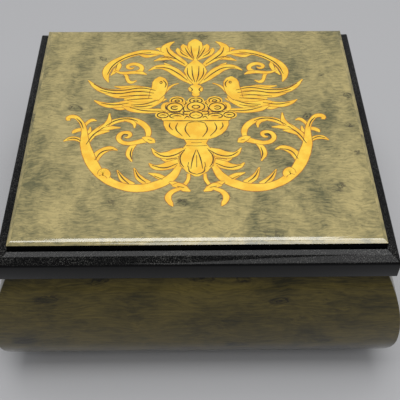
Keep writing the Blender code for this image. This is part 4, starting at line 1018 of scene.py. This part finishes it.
# %% Plywood
def build_plywood():
    made, tree, shader = finish("birch_plywood", 0.62)
    place = here(tree)
    height = add(tree, "ShaderNodeSeparateXYZ", {"Vector": place}).outputs["Z"]
    layers = ramp(tree, maths(tree, "SINE", times(tree, height, 5000.0)), -0.3, 0.3)
    grain = noise(tree, stretched(tree, place, (0.06, 1, 1)), 420.0, 4.0, 0.6, 0.4)
    pale = blend_colours(tree, ramp(tree, grain, 0.3, 0.7), (0.42, 0.28, 0.15, 1), (0.60, 0.44, 0.26, 1))
    colour = blend_colours(tree, times(tree, layers, 0.35), pale, (0.30, 0.18, 0.09, 1))
    paint(tree, shader, colour)
    relief(tree, shader, grain, 0.00008, 0.6)
    return made


plywood = build_plywood()
finishes = {
    "brass": brass, "steel": steel, "acrylic": acrylic, "plywood": plywood, "velvet": velvet,
    "black_lacquer": black_lacquer, "burl_veneer": wall_veneer_with_painted_shade,
}
for node in nodes:
    for slot in bpy.data.objects[node].material_slots:
        slot.material = finishes[slot.material.name.split(".")[0]]
print("finishes on", len(nodes), "nodes")

# %% [markdown]
# The cylinder of the movement carries a few hundred fine pins that pluck the comb. One pin is made,
# copied to the rows of the comb's teeth at scattered turns, and the copies are joined.

# %% The pins of the music cylinder
drum_low, drum_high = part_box("music_cylinder")
DRUM = (drum_high.z - drum_low.z) / 2
drum_centre = (drum_low + drum_high) / 2
PIN_ROWS, PINS_A_ROW, PIN_PLACES = 18, 14, 48
PIN_LENGTH, PIN_RADIUS = 0.00045, 0.00016
END_MARGIN = 0.0012  # bare cylinder beyond the outer rows
random.seed(7)
bpy.ops.mesh.primitive_cone_add(
    vertices=6, radius1=PIN_RADIUS, radius2=PIN_RADIUS * 0.6, depth=2 * PIN_LENGTH, location=(0, 0, 0)
)
pin = bpy.context.object
copies = []
for row in range(PIN_ROWS):
    y = drum_low.y + END_MARGIN + (drum_high.y - drum_low.y - 2 * END_MARGIN) * row / (PIN_ROWS - 1)
    for turn in random.sample(range(PIN_PLACES), PINS_A_ROW):
        copy = pin.copy()
        copy.data = pin.data.copy()
        bpy.context.scene.collection.objects.link(copy)
        about = Matrix.Rotation(math.tau * turn / PIN_PLACES, 4, "Y")
        copy.matrix_world = (
            Matrix.Translation((drum_centre.x, y, drum_centre.z)) @ about @ Matrix.Translation((0, 0, DRUM))
        )
        copies.append(copy)
bpy.data.objects.remove(pin)
bpy.ops.object.select_all(action="DESELECT")
for copy in copies:
    copy.select_set(True)
bpy.context.view_layer.objects.active = copies[0]
bpy.ops.object.join()
complete(bpy.context.object, "cylinder_pins", "cylinder", steel)
print("pins", PIN_ROWS * PINS_A_ROW)

# %% [markdown]
# Screws are the kind with one straight slot. Each keeps the body it has in the frame, copied and merged
# into one skin, and a thin bar cuts the slot across its head. The slots point different ways, as they do
# when screws are driven home.

# %% Slotted screws
SLOT_WIDTH = 0.0004
SLOT_DEPTH = 0.0005


def merged_copy(node):
    """A copy of a node's mesh with its points merged and its flat faces joined up."""
    made = bpy.data.objects.new(node + "_fine", bpy.data.objects[node].data.copy())
    bpy.context.scene.collection.objects.link(made)
    edit(made)
    bpy.ops.mesh.remove_doubles(threshold=0.000001)
    bpy.ops.mesh.dissolve_limited(angle_limit=math.radians(1))
    leave()
    return made


def slotted(node, body, metal_finish, head_up, turn):
    """A screw with a slot across its head, turned by so much."""
    low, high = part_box(node)
    middle = (low + high) / 2
    screw = merged_copy(node)
    face = high.z if head_up else low.z
    long, half = high.x - low.x, SLOT_WIDTH / 2
    bar = cube((-long, -half, -SLOT_DEPTH), (long, half, SLOT_DEPTH))
    bar.matrix_world = Matrix.Translation((middle.x, middle.y, face)) @ Matrix.Rotation(turn, 4, "Z")
    settle(bar)
    modify(screw, "BOOLEAN", object=bar, operation="DIFFERENCE", solver="EXACT")
    bpy.data.objects.remove(bar)
    return complete(screw, node + "_slotted", body, metal_finish, (node,), angle=40)


turn = 0.3
for side in ("left", "right"):
    for i in (1, 2):
        slotted(f"hinge_{side}_case_screw_{i}", "case", brass, True, turn)
        slotted(f"hinge_{side}_lid_screw_{i}", "lid", brass, False, turn + 0.9)
        turn += 1.1
for i, node in enumerate(("comb_screw_1", "comb_screw_2")):
    slotted(node, "case", steel, True, 0.5 + 1.3 * i)
for i in (1, 2, 3):
    slotted(f"mounting_screw_{i}", "case", steel, False, 0.8 * i)
print("slotted screws", 13)

# %% [markdown]
# The key is stamped from thick brass and its edges are rounded by handling. It keeps its shape, and a
# small bevel goes round every sharp edge of a merged copy. The hinge leaves get a finer one.

# %% Eased edges
KEY_EASE, LEAF_EASE = 0.00025, 0.0001


def eased(node, body, metal_finish, width):
    """A merged copy with a small bevel on its sharp edges."""
    made = merged_copy(node)
    modify(made, "BEVEL", width=width, segments=2, limit_method="ANGLE", angle_limit=math.radians(35))
    return complete(made, node + "_eased", body, metal_finish, (node,), angle=40)


eased("winding_key", "winding", brass, KEY_EASE)
for side in ("left", "right"):
    eased(f"hinge_{side}_case_leaf", "case", brass, LEAF_EASE)
    eased(f"hinge_{side}_lid_leaf", "lid", brass, LEAF_EASE)

# %% [markdown]
# The floor is a wide, flat, pale grey sheet. The light is plain: a large soft lamp overhead, a weaker
# one in front and an even pale surround.

# %% Floor, lamps and world
FLOOR_TONE = (0.44, 0.44, 0.45, 1)
FLOOR_SIZE = 6
WORLD_TONE, WORLD_STRENGTH = (0.80, 0.82, 0.85, 1), 0.30
bpy.ops.mesh.primitive_plane_add(size=FLOOR_SIZE, location=(0, 0, 0))
floor = bpy.context.object
floor.name = "floor"
floor.data.materials.append(finish("floor_paper", 0.9, Base_Color=FLOOR_TONE)[0])


def lamp(name, place, target, power, wide, tall):
    """A soft rectangular lamp that points at its target."""
    data = bpy.data.lights.new(name, "AREA")
    data.energy = power
    data.shape = "RECTANGLE"
    data.size, data.size_y = wide, tall
    made = bpy.data.objects.new(name, data)
    bpy.context.scene.collection.objects.link(made)
    made.location = place
    made.rotation_euler = (Vector(target) - Vector(place)).to_track_quat("-Z", "Y").to_euler()
    return made


lamp("overhead", (0.0, 0.075, 1.10), (0, 0, 0.05), 9.0, 0.95, 0.75)
lamp("front_top", (0.28, -0.62, 1.10), (0, 0, 0.05), 3.5, 0.90, 0.50)
world = bpy.context.scene.world or bpy.data.worlds.new("world")
bpy.context.scene.world = world
world.use_nodes = True
background = world.node_tree.nodes["Background"]
background.inputs["Color"].default_value = WORLD_TONE
background.inputs["Strength"].default_value = WORLD_STRENGTH
bpy.context.scene.view_settings.view_transform = "Standard"
